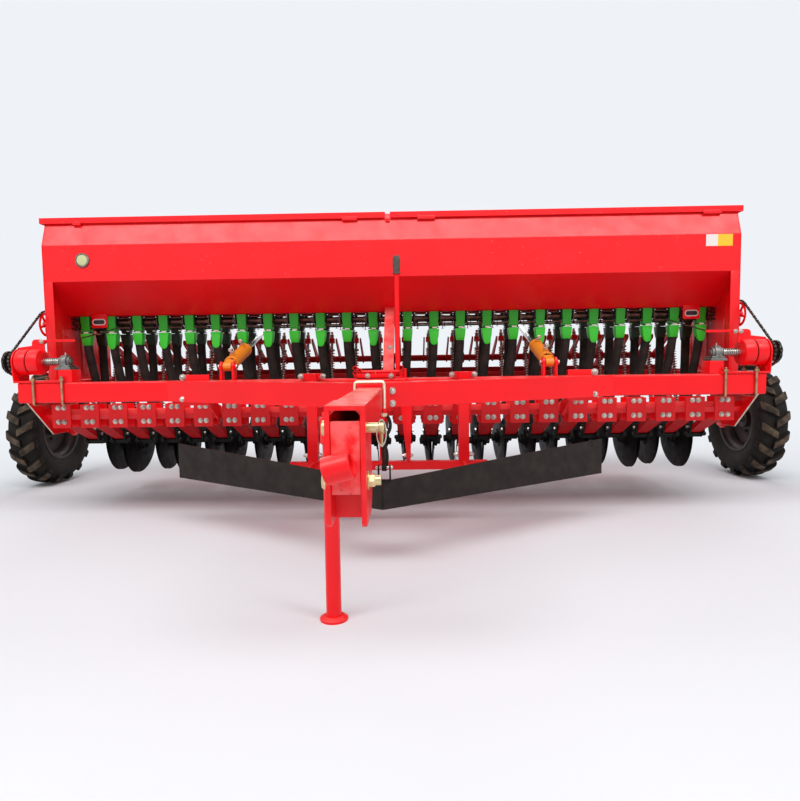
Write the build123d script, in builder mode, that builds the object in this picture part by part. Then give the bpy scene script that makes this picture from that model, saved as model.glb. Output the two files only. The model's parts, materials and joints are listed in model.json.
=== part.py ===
"""Trailed seed drill, 24 rows, parked on its jack with the openers raised.

Millimetres. +Z is up, the ground is z = 0, the hitch points to -Y and X = 0 is the machine's middle.
The origin lies on the ground under the middle of the machine's length and width.
"""

from math import atan2, cos, radians, sin, tan

from build123d import *
import os

os.makedirs("parts", exist_ok=True)

# Rows and openers
row_count = 24
row_pitch = 150.0
cup_shift = 22.5

# Frame tubes
tube = 100.0
tube_round = 9.0
frame_bottom = 621.0
frame_top = frame_bottom + tube
end_margin = 96.0
beam_half = (row_count - 1) / 2 * row_pitch + end_margin
beam_front_y = 5.0
beam_rear_y = beam_front_y + tube
axle_front_y = 1093.0
axle_rear_y = axle_front_y + tube
plate_thick = 10.0
rail_width = 50.0

# Land wheels
wheel_offset = 529.0
wheel_x = beam_half + wheel_offset
wheel_y = (axle_front_y + axle_rear_y) / 2
wheel_radius = 377.0
tyre_width = 190.0
lug_count = 17
lug_depth = 25.0
lug_width = 34.0
lug_sweep = 62.0
bead_radius = 203.0
rim_half = 66.0
hub_radius = 55.0
flange_height = 13.0
flange_radius = bead_radius + flange_height
shaft_radius = 20.0
running_gap = 0.4
seat_gap = 0.3

# Wheel legs and their bearings
leg_thick = 14.0
leg_clearance = 53.0
leg_outer_x = wheel_x - tyre_width / 2 - leg_clearance
leg_inner_x = beam_half + 15
axle_half = leg_outer_x + leg_thick - 1
leg_foot_radius = 58.0
bearing_radius = 46.0
bearing_width = 44.0

# Drawbar and hitch
drawbar_x = -50.0
drawbar_bottom = 605.0
drawbar_top = drawbar_bottom + tube
brace_knee_x = 975.0
brace_inner_y = -461.0
head_front_y = -1448.0
head_rear_y = -1240.0
head_bottom = 400.0
head_width = 102.0
head_wall = 13.0
hitch_pin_y = -1390.0
hitch_pin_radius = 13.0
hitch_pin_heights = (508.0, 644.0)
eye_y = -1484.5
eye_z = 557.0
eye_x = -64.0
eye_outer_radius = 35.5
eye_bore_radius = 25.5
eye_length = 70.0

# Jack
jack_x = -138.0
jack_y = -1073.0
jack_radius = 24.0
jack_top = 655.0
foot_radius = 44.0
sleeve_wall = 7.0

# Opener bar, clamps and opener pivot
bar_side = 40.0
bar_y = 236.0
bar_z = 544.0
clamp_width = 98.0
clamp_bottom = 475.0
clamp_top = 598.0
clamp_plate = 12.0
pivot_y = 290.0
pivot_z = 500.0
pivot_radius = 10.0
hanger_x = 900.0

# Openers
arm_tip_y = 515.0
arm_tip_z = 388.0
arm_root_half = 46.0
arm_tip_half = 30.0
arm_depth = 30.0
hub_z = 315.0
hub_y_front = 730.0
hub_y_rear = 830.0
disc_radius = 175.0
disc_thick = 3.0
disc_lean = 6.0
socket_top = 530.0
socket_front_y = 610.0
socket_rear_y = 668.0
rod_pin_y = 730.0
rod_pin_z = 430.0
rod_pin_radius = 7.0

# Rock shaft, its forks and levers
rock_y = 1040.0
rock_z = 816.0
rock_radius = 20.0
rock_half = beam_half - 21
fork_tip_y = 840.0
fork_tip_z = 930.0
fork_gap_half = 23.0
fork_plate = 8.0
lever_x = 795.0
lever_length = 261.0
lever_rest_angle = 76.0
lever_plate = 16.0

# Lift cylinders
cylinder_pin_y = 60.0
cylinder_pin_z = 788.0
cylinder_pin_radius = 12.0
barrel_radius = 35.0
barrel_length = 330.0
rod_radius = 16.0
stroke = 220.0

# Hopper
hopper_margin = 10.0
hopper_half = beam_half + hopper_margin
hopper_wall = 4.0
hopper_mid_y = 620.0
hopper_depth = 668.0
hopper_front_y = hopper_mid_y - hopper_depth / 2
facet_setback = 50.0
hopper_top_y = hopper_front_y + facet_setback
hose_drop = 371.0
funnel_height = 82.0
neck_height = 6.0
chute_height = 90.0
funnel_bottom = socket_top + hose_drop
funnel_top = funnel_bottom + funnel_height
chute_bottom = funnel_top + neck_height
trough_z = chute_bottom + chute_height + hopper_wall
lower_facet = 165.0
middle_facet = 190.0
upper_facet = 145.7
knee_low_z = trough_z + lower_facet
knee_high_z = knee_low_z + middle_facet
hopper_top_z = knee_high_z + upper_facet
ridge_height = 97.0
ridge_z = trough_z + ridge_height
cup_y_front = 537.0
trough_half = 24.0
trough_front_y = cup_y_front - trough_half + 2
end_plate_thick = 6.0
foot_length = 94.0

# Lids
lid_overhang = 27.0
lid_half = hopper_half + lid_overhang
lid_gap = 26.0
lid_sheet = 4.0
lid_top_z = hopper_top_z + seat_gap + lid_sheet
lid_front_y = hopper_top_y - 24
lip_depth = 30.0
hinge_y = 2 * hopper_mid_y - hopper_top_y + 10
hinge_radius = 6.0
hinge_z = lid_top_z - 8

# Metering
chute_width = 58.0
chute_depth = 54.0
funnel_width = 70.0
funnel_mouth = 38.0
meter_shaft_z = trough_z - 40
meter_shaft_radius = 12.0
hose_radius = 24.0

# Side drives
drive_y = 55.0
drive_z = 824.0
drum_radius = 65.5
drum_inner_x = beam_half - 104
drum_split = 56.0
bearing_inset = 217.0
bearing_x = beam_half - bearing_inset
drive_plate_x = beam_half + 13
drive_shaft_radius = 15.0
sprocket_radius = 44.0
chain_size = 12.0
chain_seat = 0.5
chain_pitch_radius = sprocket_radius + chain_seat + chain_size / 2
chain_inner_x = hopper_half + 29
chain_outer_x = hopper_half + 57
wheel_sprocket_y = 330.0
wheel_sprocket_z = meter_shaft_z - 18
spoke_wheel_radius = 65.0
spoke_rim = 13.0
spoke_hub_radius = 22.0
spoke_count = 5
spoke_width = 12.0
sprocket_hub_radius = 26.0

# Levelling board and its frame
strut_side = 50.0
strut_x = 365.0
strut_bottom = 319.0
strut_top = 750.0
flat_strut_x = 93.0
flat_strut_thick = 12.0
flat_strut_depth = 45.0
taper_x = -32.0
taper_head = 41.0
taper_foot = 17.0
taper_thick = 8.0
level_bar_side = 40.0
level_bar_half = 480.0
board_apex_y = -655.0
board_end_x = 1040.0
board_end_y = 20.0
board_bottom = 241.0
board_apex_top = 351.0
board_end_top = 412.0
board_thick = 10.0

# Footboard
footboard_half = beam_half - 41
footboard_front_y = 1220.0
footboard_rear_y = 1520.0
footboard_top = 600.0
footboard_sheet = 8.0

row_xs = [(i - (row_count - 1) / 2) * row_pitch for i in range(row_count)]
cup_xs = [x + (cup_shift if x > 0 else -cup_shift) for x in row_xs]
hub_ys = [hub_y_rear if i % 2 == 0 else hub_y_front for i in range(row_count)]
sides = {"left": -1, "right": 1}
finished = []


def finish_part(part, label):
    """Name a finished piece and write its own file."""
    part.label = label
    export_step(part, f"parts/{label}.step")
    finished.append(label)


def side_plane(x):
    """A sketch plane facing +X whose sketch coordinates are the machine's (y, z)."""
    return Plane(origin=(x, 0, 0), x_dir=(0, 1, 0), z_dir=(1, 0, 0))


def side_plate(outline, x_middle, thickness, mode=Mode.ADD):
    """A flat plate across X with a straight-edged outline of (y, z) points."""
    with BuildSketch(side_plane(x_middle)) as profile:
        with BuildLine():
            Polyline(*outline, close=True)
        make_face()
    extrude(profile.sketch, amount=thickness / 2, both=True, mode=mode)


def side_disc(y, z, radius, x_low, x_high, mode=Mode.ADD):
    """A cylinder along X."""
    with BuildSketch(side_plane(x_low)) as profile:
        with Locations((y, z)):
            Circle(radius)
    extrude(profile.sketch, amount=x_high - x_low, mode=mode)


def side_link(start, start_radius, end, end_radius, x_middle, thickness, mode=Mode.ADD):
    """A flat link across X: the hull of two circles at (y, z) points."""
    with BuildSketch(side_plane(x_middle)) as profile:
        with Locations(start):
            Circle(start_radius)
        with Locations(end):
            Circle(end_radius)
        make_hull()
    extrude(profile.sketch, amount=thickness / 2, both=True, mode=mode)


def block(x_low, x_high, y_low, y_high, z_low, z_high, mode=Mode.ADD):
    """A box between two corners."""
    centre = ((x_low + x_high) / 2, (y_low + y_high) / 2, (z_low + z_high) / 2)
    with Locations(centre):
        Box(x_high - x_low, y_high - y_low, z_high - z_low, mode=mode)


def rod_between(start, end, radius, mode=Mode.ADD):
    """A round bar from one point to another."""
    axis = Vector(*end) - Vector(*start)
    with BuildSketch(Plane(origin=start, z_dir=axis)) as profile:
        Circle(radius)
    extrude(profile.sketch, amount=axis.length, mode=mode)


def repeat_along_x(part, xs):
    """Add copies of a part made at x = 0 to the piece that is being built."""
    with Locations(*[(x, 0, 0) for x in xs]):
        add(part)


def round_long_edges(axis, radius):
    """Round the four long edges of the square tube that is being built."""
    fillet(edges().filter_by(axis), radius)


# Front beam, with the hangers for the opener bar and the clevises for the lift cylinders
ear_half_gap = 25.0
ear_thick = 10.0
ear_radius = 25.0
with BuildPart() as front_beam:
    block(-beam_half, beam_half, beam_front_y, beam_rear_y, frame_bottom, frame_top)
    round_long_edges(Axis.X, tube_round)
    for side in sides.values():
        hanger = [
            (beam_front_y + 20, frame_bottom + 2),
            (beam_rear_y - 12, frame_bottom + 2),
            (bar_y + 34, bar_z + 28),
            (bar_y + 34, bar_z - 34),
            (bar_y - 30, bar_z - 34),
        ]
        side_plate(hanger, side * hanger_x, clamp_plate)
        for ear in (-1, 1):
            ear_x = side * lever_x + ear * (ear_half_gap + ear_thick / 2)
            ear_outline = [
                (cylinder_pin_y - ear_radius, frame_top - 2),
                (cylinder_pin_y + ear_radius, frame_top - 2),
                (cylinder_pin_y + ear_radius, cylinder_pin_z),
                (cylinder_pin_y - ear_radius, cylinder_pin_z),
            ]
            side_plate(ear_outline, ear_x, ear_thick)
            ear_xs = (ear_x - ear_thick / 2, ear_x + ear_thick / 2)
            side_disc(cylinder_pin_y, cylinder_pin_z, ear_radius, *ear_xs)
        pin_reach = ear_half_gap + ear_thick + 8
        pin_x = side * lever_x
        side_disc(cylinder_pin_y, cylinder_pin_z, cylinder_pin_radius, pin_x - pin_reach, pin_x + pin_reach)
    with BuildSketch(side_plane(-hanger_x - clamp_plate)) as bar_hole:
        with Locations((bar_y, bar_z)):
            Rectangle(bar_side + 2 * seat_gap, bar_side + 2 * seat_gap, rotation=45)
    extrude(bar_hole.sketch, amount=2 * (hanger_x + clamp_plate), mode=Mode.SUBTRACT)
finish_part(front_beam.part, "front_beam")

# Side rails join the front beam to the rear axle beam
for name, side in sides.items():
    with BuildPart() as side_rail:
        inner_x = side * (beam_half - rail_width)
        outer_x = side * beam_half
        rail_xs = sorted((inner_x, outer_x))
        block(*rail_xs, beam_rear_y, axle_front_y, frame_bottom, frame_top)
        round_long_edges(Axis.Y, tube_round)
    finish_part(side_rail.part, f"side_rail_{name}")

# Rear axle beam
with BuildPart() as rear_axle_beam:
    block(-axle_half, axle_half, axle_front_y, axle_rear_y, frame_bottom, frame_top)
    round_long_edges(Axis.X, tube_round)
finish_part(rear_axle_beam.part, "rear_axle_beam")

# A flat tube on the rear axle beam carries the rock shaft's bearings
carrier_height = 30.0
carrier_margin = 10.0
carrier_half = beam_half - 21
carrier_top = frame_top + carrier_height
with BuildPart() as shaft_carrier:
    block(
        -carrier_half,
        carrier_half,
        axle_front_y + carrier_margin,
        axle_rear_y - carrier_margin,
        frame_top,
        carrier_top,
    )
finish_part(shaft_carrier.part, "shaft_carrier")

# Wheel legs: an outer and an inner plate under the axle beam, each with a bearing housing
for name, side in sides.items():
    with BuildPart() as wheel_leg:
        for leg_x in (leg_outer_x, leg_inner_x):
            leg_outline = [
                (axle_front_y, frame_bottom),
                (axle_rear_y, frame_bottom),
                (wheel_y + leg_foot_radius, wheel_radius),
                (wheel_y - leg_foot_radius, wheel_radius),
            ]
            middle = side * leg_x
            side_plate(leg_outline, middle, leg_thick)
            foot_xs = (middle - leg_thick / 2, middle + leg_thick / 2)
            side_disc(wheel_y, wheel_radius, leg_foot_radius, *foot_xs)
            housing_xs = (middle - bearing_width / 2, middle + bearing_width / 2)
            side_disc(wheel_y, wheel_radius, bearing_radius, *housing_xs)
            side_disc(
                wheel_y,
                wheel_radius,
                shaft_radius + running_gap,
                middle - bearing_width,
                middle + bearing_width,
                Mode.SUBTRACT,
            )
    finish_part(wheel_leg.part, f"wheel_leg_{name}")

# End plates with the pointed nose, on the outer faces of the rails
nose_outline = [(67.0, 721.0), (24.0, 664.0), (284.0, 432.0), (420.0, 430.0), (420.0, 721.0)]
for name, side in sides.items():
    with BuildPart() as end_plate:
        side_plate(nose_outline, side * (beam_half + plate_thick / 2), plate_thick)
    finish_part(end_plate.part, f"end_plate_{name}")

# Opener bar: a square bar standing on its edge, between the end plates
with BuildPart() as opener_bar:
    with BuildSketch(side_plane(-beam_half)):
        with Locations((bar_y, bar_z)):
            Rectangle(bar_side, bar_side, rotation=45)
    extrude(amount=2 * beam_half)
finish_part(opener_bar.part, "opener_bar")

# Opener clamps: front plate, notched rear plate with two ears, bolts and the pivot pin
bar_corner = bar_side * 2**0.5 / 2
clamp_front_y = bar_y - bar_corner - seat_gap
clamp_rear_y = bar_y + 18
clamp_bolt_x = 15.0
clamp_bolt_radius = 5.0
clamp_bolt_heights = (507.0, 581.5)
ear_x = 55.0
clamp_ear = 8.0
with BuildPart() as clamp:
    block(
        -clamp_width / 2,
        clamp_width / 2,
        clamp_front_y - clamp_plate,
        clamp_front_y,
        clamp_bottom,
        clamp_top,
    )
    block(
        -ear_x - clamp_ear / 2,
        ear_x + clamp_ear / 2,
        clamp_rear_y,
        clamp_rear_y + clamp_plate,
        clamp_bottom,
        clamp_top,
    )
    for height in clamp_bolt_heights:
        for bolt_x in (-clamp_bolt_x, clamp_bolt_x):
            rod_between((bolt_x, clamp_front_y, height), (bolt_x, clamp_rear_y, height), clamp_bolt_radius)
    for ear in (-1, 1):
        ear_outline = [
            (clamp_rear_y + 2, clamp_top - 30),
            (pivot_y + 8, pivot_z + 34),
            (pivot_y + 22, pivot_z + 10),
            (pivot_y + 22, pivot_z - 16),
            (pivot_y + 6, clamp_bottom),
            (clamp_rear_y + 2, clamp_bottom),
        ]
        side_plate(ear_outline, ear * ear_x, clamp_ear)
    side_disc(pivot_y, pivot_z, pivot_radius, -ear_x - clamp_ear, ear_x + clamp_ear)
    with BuildSketch(side_plane(-clamp_width)) as notch:
        with Locations((bar_y, bar_z)):
            Rectangle(bar_side + 2 * seat_gap, bar_side + 2 * seat_gap, rotation=45)
    extrude(notch.sketch, amount=2 * clamp_width, mode=Mode.SUBTRACT)
with BuildPart() as opener_clamps:
    repeat_along_x(clamp.part, row_xs)
finish_part(opener_clamps.part, "opener_clamps")

# Drawbar tube, open at its front end
tube_wall = 8.0
mouth_depth = 300.0
with BuildPart() as drawbar_tube:
    block(drawbar_x - tube / 2, drawbar_x + tube / 2, head_rear_y, beam_front_y, drawbar_bottom, drawbar_top)
    round_long_edges(Axis.Y, tube_round)
    block(
        drawbar_x - tube / 2 + tube_wall,
        drawbar_x + tube / 2 - tube_wall,
        head_rear_y - 1,
        head_rear_y + mouth_depth,
        drawbar_bottom + tube_wall,
        drawbar_top - tube_wall,
        Mode.SUBTRACT,
    )
finish_part(drawbar_tube.part, "drawbar_tube")

# Drawbar braces run from the front beam's knees to the sides of the drawbar tube
knee_plate = 12.0
knee_plate_in = 105.0
knee_plate_out = 38.0
knee_plate_rise = 30.0
knee_plate_drop = 20.0
for name, side in sides.items():
    inner_x = drawbar_x + side * tube / 2
    knee_x = side * brace_knee_x
    run = Vector(inner_x - knee_x, brace_inner_y - beam_front_y)
    half_cut_y = tube / 2 / abs(cos(atan2(run.Y, abs(run.X))))
    half_cut_x = tube / 2 / abs(sin(atan2(run.Y, abs(run.X))))
    with BuildPart() as drawbar_brace:
        with BuildSketch(Plane.XY.offset(frame_bottom)):
            with BuildLine():
                Polyline(
                    (knee_x - half_cut_x, beam_front_y),
                    (knee_x + half_cut_x, beam_front_y),
                    (inner_x, brace_inner_y - side * half_cut_y),
                    (inner_x, brace_inner_y + side * half_cut_y),
                    close=True,
                )
            make_face()
        extrude(amount=tube)
        plate_xs = sorted((knee_x - side * knee_plate_in, knee_x + side * knee_plate_out))
        plate_zs = (frame_bottom - knee_plate_drop, frame_top + knee_plate_rise)
        block(*plate_xs, beam_front_y - knee_plate, beam_front_y, *plate_zs)
    finish_part(drawbar_brace.part, f"drawbar_brace_{name}")

# Hitch head: two side plates, a top plate and a web between them below the drawbar
head_left = drawbar_x - head_width / 2
head_right = drawbar_x + head_width / 2
web_thick = 12.0
web_front_y = hitch_pin_y + 35
with BuildPart() as hitch_head:
    cheek_outline = [
        (head_front_y, drawbar_top),
        (head_rear_y, drawbar_top),
        (head_rear_y, head_bottom + 40),
        (head_rear_y - 40, head_bottom),
        (head_front_y + 10, head_bottom),
        (head_front_y, head_bottom + 10),
    ]
    for cheek_x in (head_left + head_wall / 2, head_right - head_wall / 2):
        side_plate(cheek_outline, cheek_x, head_wall)
    block(head_left, head_right, head_front_y, head_rear_y, drawbar_top - web_thick, drawbar_top)
    block(head_left, head_right, web_front_y, web_front_y + web_thick, head_bottom + 2, drawbar_bottom)
    for height in hitch_pin_heights:
        side_disc(
            hitch_pin_y,
            height,
            hitch_pin_radius + seat_gap,
            head_left - 5,
            head_right + 5,
            Mode.SUBTRACT,
        )
finish_part(hitch_head.part, "hitch_head")

# Hitch tongue: a channel between the side plates with the eye tube welded in front
tongue_half = head_width / 2 - head_wall - seat_gap
tongue_front_y = head_front_y + 4
tongue_plate = 12.0
tongue_low = 482.0
tongue_high = 672.0
with BuildPart() as hitch_tongue:
    block(
        drawbar_x - tongue_half,
        drawbar_x + tongue_half,
        tongue_front_y,
        tongue_front_y + tongue_plate,
        tongue_low,
        tongue_high,
    )
    for flange in (-1, 1):
        flange_x = drawbar_x + flange * (tongue_half - tongue_plate / 2)
        flange_outline = [
            (tongue_front_y, tongue_low),
            (tongue_front_y, tongue_high),
            (hitch_pin_y + 30, tongue_high),
            (hitch_pin_y + 30, tongue_low + 12),
            (hitch_pin_y + 18, tongue_low),
        ]
        side_plate(flange_outline, flange_x, tongue_plate)
    block(eye_x - 22, eye_x + 22, eye_y + 20, tongue_front_y, eye_z - 24, eye_z + 24)
    side_disc(eye_y, eye_z, eye_outer_radius, eye_x - eye_length / 2, eye_x + eye_length / 2)
    side_disc(eye_y, eye_z, eye_bore_radius, eye_x - eye_length, eye_x + eye_length, Mode.SUBTRACT)
    for height in hitch_pin_heights:
        side_disc(
            hitch_pin_y,
            height,
            hitch_pin_radius + seat_gap,
            head_left,
            head_right,
            Mode.SUBTRACT,
        )
finish_part(hitch_tongue.part, "hitch_tongue")

# Hitch pins: a plain pin above and a bolt with its head and nut below
pin_low, pin_high = hitch_pin_heights
with BuildPart() as hitch_pins:
    side_disc(hitch_pin_y, pin_high, hitch_pin_radius, head_left - 14, head_right + 44)
    side_disc(hitch_pin_y, pin_high, hitch_pin_radius + 8, head_left - 14, head_left - seat_gap)
    side_disc(hitch_pin_y, pin_low, hitch_pin_radius, head_left - 16, head_right + 34)
    side_disc(hitch_pin_y, pin_low, hitch_pin_radius + 10, head_left - 16, head_left - seat_gap)
    side_disc(hitch_pin_y, pin_low, hitch_pin_radius + 10, head_right + seat_gap, head_right + 24)
finish_part(hitch_pins.part, "hitch_pins")

# Jack sleeve, welded to the drawbar's left side
sleeve_bottom = 560.0
sleeve_top = 640.0
sleeve_radius = jack_radius + running_gap + sleeve_wall
drawbar_left = drawbar_x - tube / 2
with BuildPart() as jack_sleeve:
    with Locations((jack_x, jack_y, (sleeve_bottom + sleeve_top) / 2)):
        Cylinder(sleeve_radius, sleeve_top - sleeve_bottom)
    block(jack_x, drawbar_left, jack_y - 20, jack_y + 20, drawbar_bottom + 5, sleeve_top)
    with Locations((jack_x, jack_y, (sleeve_bottom + sleeve_top) / 2)):
        Cylinder(jack_radius + running_gap, 2 * sleeve_top, mode=Mode.SUBTRACT)
finish_part(jack_sleeve.part, "jack_sleeve")

# Jack leg: a pipe on a round foot
foot_height = 14.0
with BuildPart() as jack_leg:
    with BuildSketch(Plane(origin=(jack_x, jack_y, 0), x_dir=(1, 0, 0), z_dir=(0, -1, 0))):
        with BuildLine():
            Polyline(
                (0, 0),
                (foot_radius, 0),
                (foot_radius, foot_height / 2),
                (jack_radius + 8, foot_height),
                (jack_radius, foot_height),
                (jack_radius, jack_top),
                (0, jack_top),
                close=True,
            )
        make_face()
    revolve(axis=Axis((jack_x, jack_y, 0), (0, 0, 1)))
finish_part(jack_leg.part, "jack_leg")

# Levelling frame: four struts, a cross bar and two arms that reach forward to the board
level_bar_y = beam_front_y - strut_side / 2
board_slope = (board_end_y - board_apex_y) / board_end_x
board_angle = atan2(board_end_y - board_apex_y, board_end_x)
level_arm_half = 8.0
strut_clamp_half = 65.0
strut_clamp_thick = 12.0
board_rear_offset = board_thick / 2 / cos(board_angle) + board_slope * level_arm_half
arm_front_y = board_apex_y + board_slope * strut_x + board_rear_offset + seat_gap
with BuildPart() as levelling_frame:
    bar_low = strut_bottom - level_bar_side
    block(
        -level_bar_half,
        level_bar_half,
        level_bar_y - level_bar_side / 2,
        level_bar_y + level_bar_side / 2,
        bar_low,
        strut_bottom,
    )
    for x in (-strut_x, strut_x):
        block(
            x - strut_side / 2,
            x + strut_side / 2,
            beam_front_y - strut_side,
            beam_front_y,
            strut_bottom - 2,
            strut_top,
        )
        clamp_outline = [
            (x - strut_clamp_half, frame_top + 12),
            (x - strut_clamp_half, strut_top - 14),
            (x - strut_clamp_half + 18, strut_top),
            (x + strut_clamp_half - 18, strut_top),
            (x + strut_clamp_half, strut_top - 14),
            (x + strut_clamp_half, frame_top + 12),
            (x + strut_clamp_half - 10, frame_top),
            (x - strut_clamp_half + 10, frame_top),
        ]
        with BuildSketch(Plane.XZ.offset(-beam_front_y + 12)) as strut_clamp:
            with BuildLine():
                Polyline(*clamp_outline, close=True)
            make_face()
        extrude(strut_clamp.sketch, amount=strut_clamp_thick)
        arm_xs = (x - level_arm_half, x + level_arm_half)
        block(*arm_xs, arm_front_y, level_bar_y, bar_low, bar_low + level_bar_side)
    flat_xs = (flat_strut_x - flat_strut_thick / 2, flat_strut_x + flat_strut_thick / 2)
    block(*flat_xs, beam_front_y - flat_strut_depth, beam_front_y, strut_bottom - 2, frame_top)
    with BuildSketch(Plane.XZ.offset(-level_bar_y - taper_thick / 2)) as tapered_strut:
        with BuildLine():
            Polyline(
                (taper_x - taper_foot / 2, strut_bottom - 2),
                (taper_x + taper_foot / 2, strut_bottom - 2),
                (taper_x + taper_head / 2, drawbar_bottom),
                (taper_x - taper_head / 2, drawbar_bottom),
                close=True,
            )
        make_face()
    extrude(tapered_strut.sketch, amount=taper_thick)
finish_part(levelling_frame.part, "levelling_frame")

# Levelling board: a V of plate standing on its lower edge
board_length = (board_end_x**2 + (board_end_y - board_apex_y) ** 2) ** 0.5
with BuildPart() as levelling_board:
    for side in (-1, 1):
        run_dir = (side * cos(board_angle), sin(board_angle), 0)
        face_dir = (sin(board_angle), -side * cos(board_angle), 0)
        with BuildSketch(Plane(origin=(0, board_apex_y, 0), x_dir=run_dir, z_dir=face_dir)) as board_half:
            with BuildLine():
                Polyline(
                    (0, board_bottom),
                    (board_length, board_bottom),
                    (board_length, board_end_top),
                    (0, board_apex_top),
                    close=True,
                )
            make_face()
        extrude(board_half.sketch, amount=board_thick / 2, both=True)
finish_part(levelling_board.part, "levelling_board")

# Hopper walls: each follows the end profile, bent at two knees and running down to the trough


def mirrored(points):
    """The same (y, z) points on the hopper's rear side."""
    return [(2 * hopper_mid_y - y, z) for y, z in points]


front_profile = [
    (hopper_top_y, hopper_top_z),
    (hopper_front_y, knee_high_z),
    (hopper_front_y, knee_low_z),
    (trough_front_y, trough_z),
]
inner_profile = [
    (trough_front_y + 5, trough_z + 1.5),
    (hopper_front_y + hopper_wall, knee_low_z + 2),
    (hopper_front_y + hopper_wall, knee_high_z - 1),
    (hopper_top_y + hopper_wall, hopper_top_z),
]
wall_outline = front_profile + inner_profile
with BuildPart() as hopper_front_wall:
    side_plate(wall_outline, 0, 2 * hopper_half)
finish_part(hopper_front_wall.part, "hopper_front_wall")

with BuildPart() as hopper_rear_wall:
    side_plate(mirrored(wall_outline), 0, 2 * hopper_half)
finish_part(hopper_rear_wall.part, "hopper_rear_wall")

# Hopper floor: a trough under each compartment with a ridge between
trough_rear_y = cup_y_front + trough_half
floor_top = [
    (trough_front_y, trough_z),
    (trough_rear_y, trough_z),
    (hopper_mid_y - 5, ridge_z),
    (hopper_mid_y + 5, ridge_z),
]
floor_upper = floor_top[:3] + mirrored(floor_top[:3])[::-1]
floor_lower = [(y, z - hopper_wall) for y, z in floor_upper][::-1]
with BuildPart() as hopper_floor:
    side_plate(floor_upper + floor_lower, 0, 2 * hopper_half)
finish_part(hopper_floor.part, "hopper_floor")

# Divider between the seed and fertiliser compartments
with BuildPart() as hopper_divider:
    block(
        -hopper_half,
        hopper_half,
        hopper_mid_y - hopper_wall / 2,
        hopper_mid_y + hopper_wall / 2,
        ridge_z,
        hopper_top_z - 30,
    )
finish_part(hopper_divider.part, "hopper_divider")

# Hopper ends: a closed sheet from the lid down to the frame, with two feet on the side rail
foot_thick = 6.0
foot_reach = hopper_half - beam_half + rail_width
hopper_rear_y = 2 * hopper_mid_y - hopper_front_y
end_outline = [
    (hopper_top_y, hopper_top_z),
    (hopper_front_y, knee_high_z),
    (hopper_front_y, frame_top),
]
end_outline = end_outline + mirrored(end_outline)[::-1]
for name, side in sides.items():
    with BuildPart() as hopper_end:
        side_plate(end_outline, side * (hopper_half + end_plate_thick / 2), end_plate_thick)
        for foot_y in (hopper_front_y, hopper_rear_y - foot_length):
            foot_xs = sorted((side * (hopper_half + end_plate_thick), side * (hopper_half - foot_reach)))
            block(*foot_xs, foot_y, foot_y + foot_length, frame_top, frame_top + foot_thick)
        for shaft_y in (cup_y_front, 2 * hopper_mid_y - cup_y_front):
            side_disc(
                shaft_y,
                meter_shaft_z,
                meter_shaft_radius + running_gap,
                -lid_half,
                lid_half,
                Mode.SUBTRACT,
            )
    finish_part(hopper_end.part, f"hopper_end_{name}")

# Lids: a top sheet with a front lip and outer end skirts, hinged on a rod at the rear edge
lip_bottom = lid_top_z - lip_depth
for name, side in sides.items():
    inner_x = side * lid_gap / 2
    outer_x = side * lid_half
    low_x, high_x = sorted((inner_x, outer_x))
    with BuildPart() as lid:
        block(low_x, high_x, lid_front_y, hinge_y, lid_top_z - lid_sheet, lid_top_z)
        block(low_x, high_x, lid_front_y, lid_front_y + lid_sheet, lip_bottom, lid_top_z)
        skirt_xs = sorted((outer_x, outer_x - side * lid_sheet))
        block(*skirt_xs, lid_front_y, hinge_y - 20, lip_bottom, lid_top_z)
        side_disc(hinge_y, hinge_z, hinge_radius, low_x, high_x)
        block(low_x, high_x, hinge_y - 2, hinge_y + 2, hinge_z, lid_top_z)
    finish_part(lid.part, f"lid_{name}")

# Seed cups: a chute under the hopper, a neck and a funnel for the hose
cup_y_rear = 2 * hopper_mid_y - cup_y_front
for label, cup_y in (("cups_front", cup_y_front), ("cups_rear", cup_y_rear)):
    with BuildPart() as cup:
        block(
            -chute_width / 2,
            chute_width / 2,
            cup_y - chute_depth / 2,
            cup_y + chute_depth / 2,
            chute_bottom,
            trough_z - hopper_wall,
        )
        with Locations((0, cup_y, (funnel_top + chute_bottom) / 2)):
            Cylinder(16, chute_bottom - funnel_top + 2)
        with BuildSketch(Plane(origin=(0, cup_y, funnel_bottom))) as mouth:
            Rectangle(funnel_mouth, funnel_mouth)
        with BuildSketch(Plane(origin=(0, cup_y, funnel_top))) as rim:
            Rectangle(funnel_width, chute_depth)
        loft([mouth.sketch.face(), rim.sketch.face()])
        side_disc(
            cup_y,
            meter_shaft_z,
            meter_shaft_radius + running_gap,
            -funnel_width,
            funnel_width,
            Mode.SUBTRACT,
        )
    with BuildPart() as cups:
        repeat_along_x(cup.part, cup_xs)
    finish_part(cups.part, label)

# Metering shafts
with BuildPart() as metering_shafts:
    for shaft_y in (cup_y_front, 2 * hopper_mid_y - cup_y_front):
        side_disc(shaft_y, meter_shaft_z, meter_shaft_radius, -hopper_half - 30, hopper_half + 30)
finish_part(metering_shafts.part, "metering_shafts")

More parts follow.
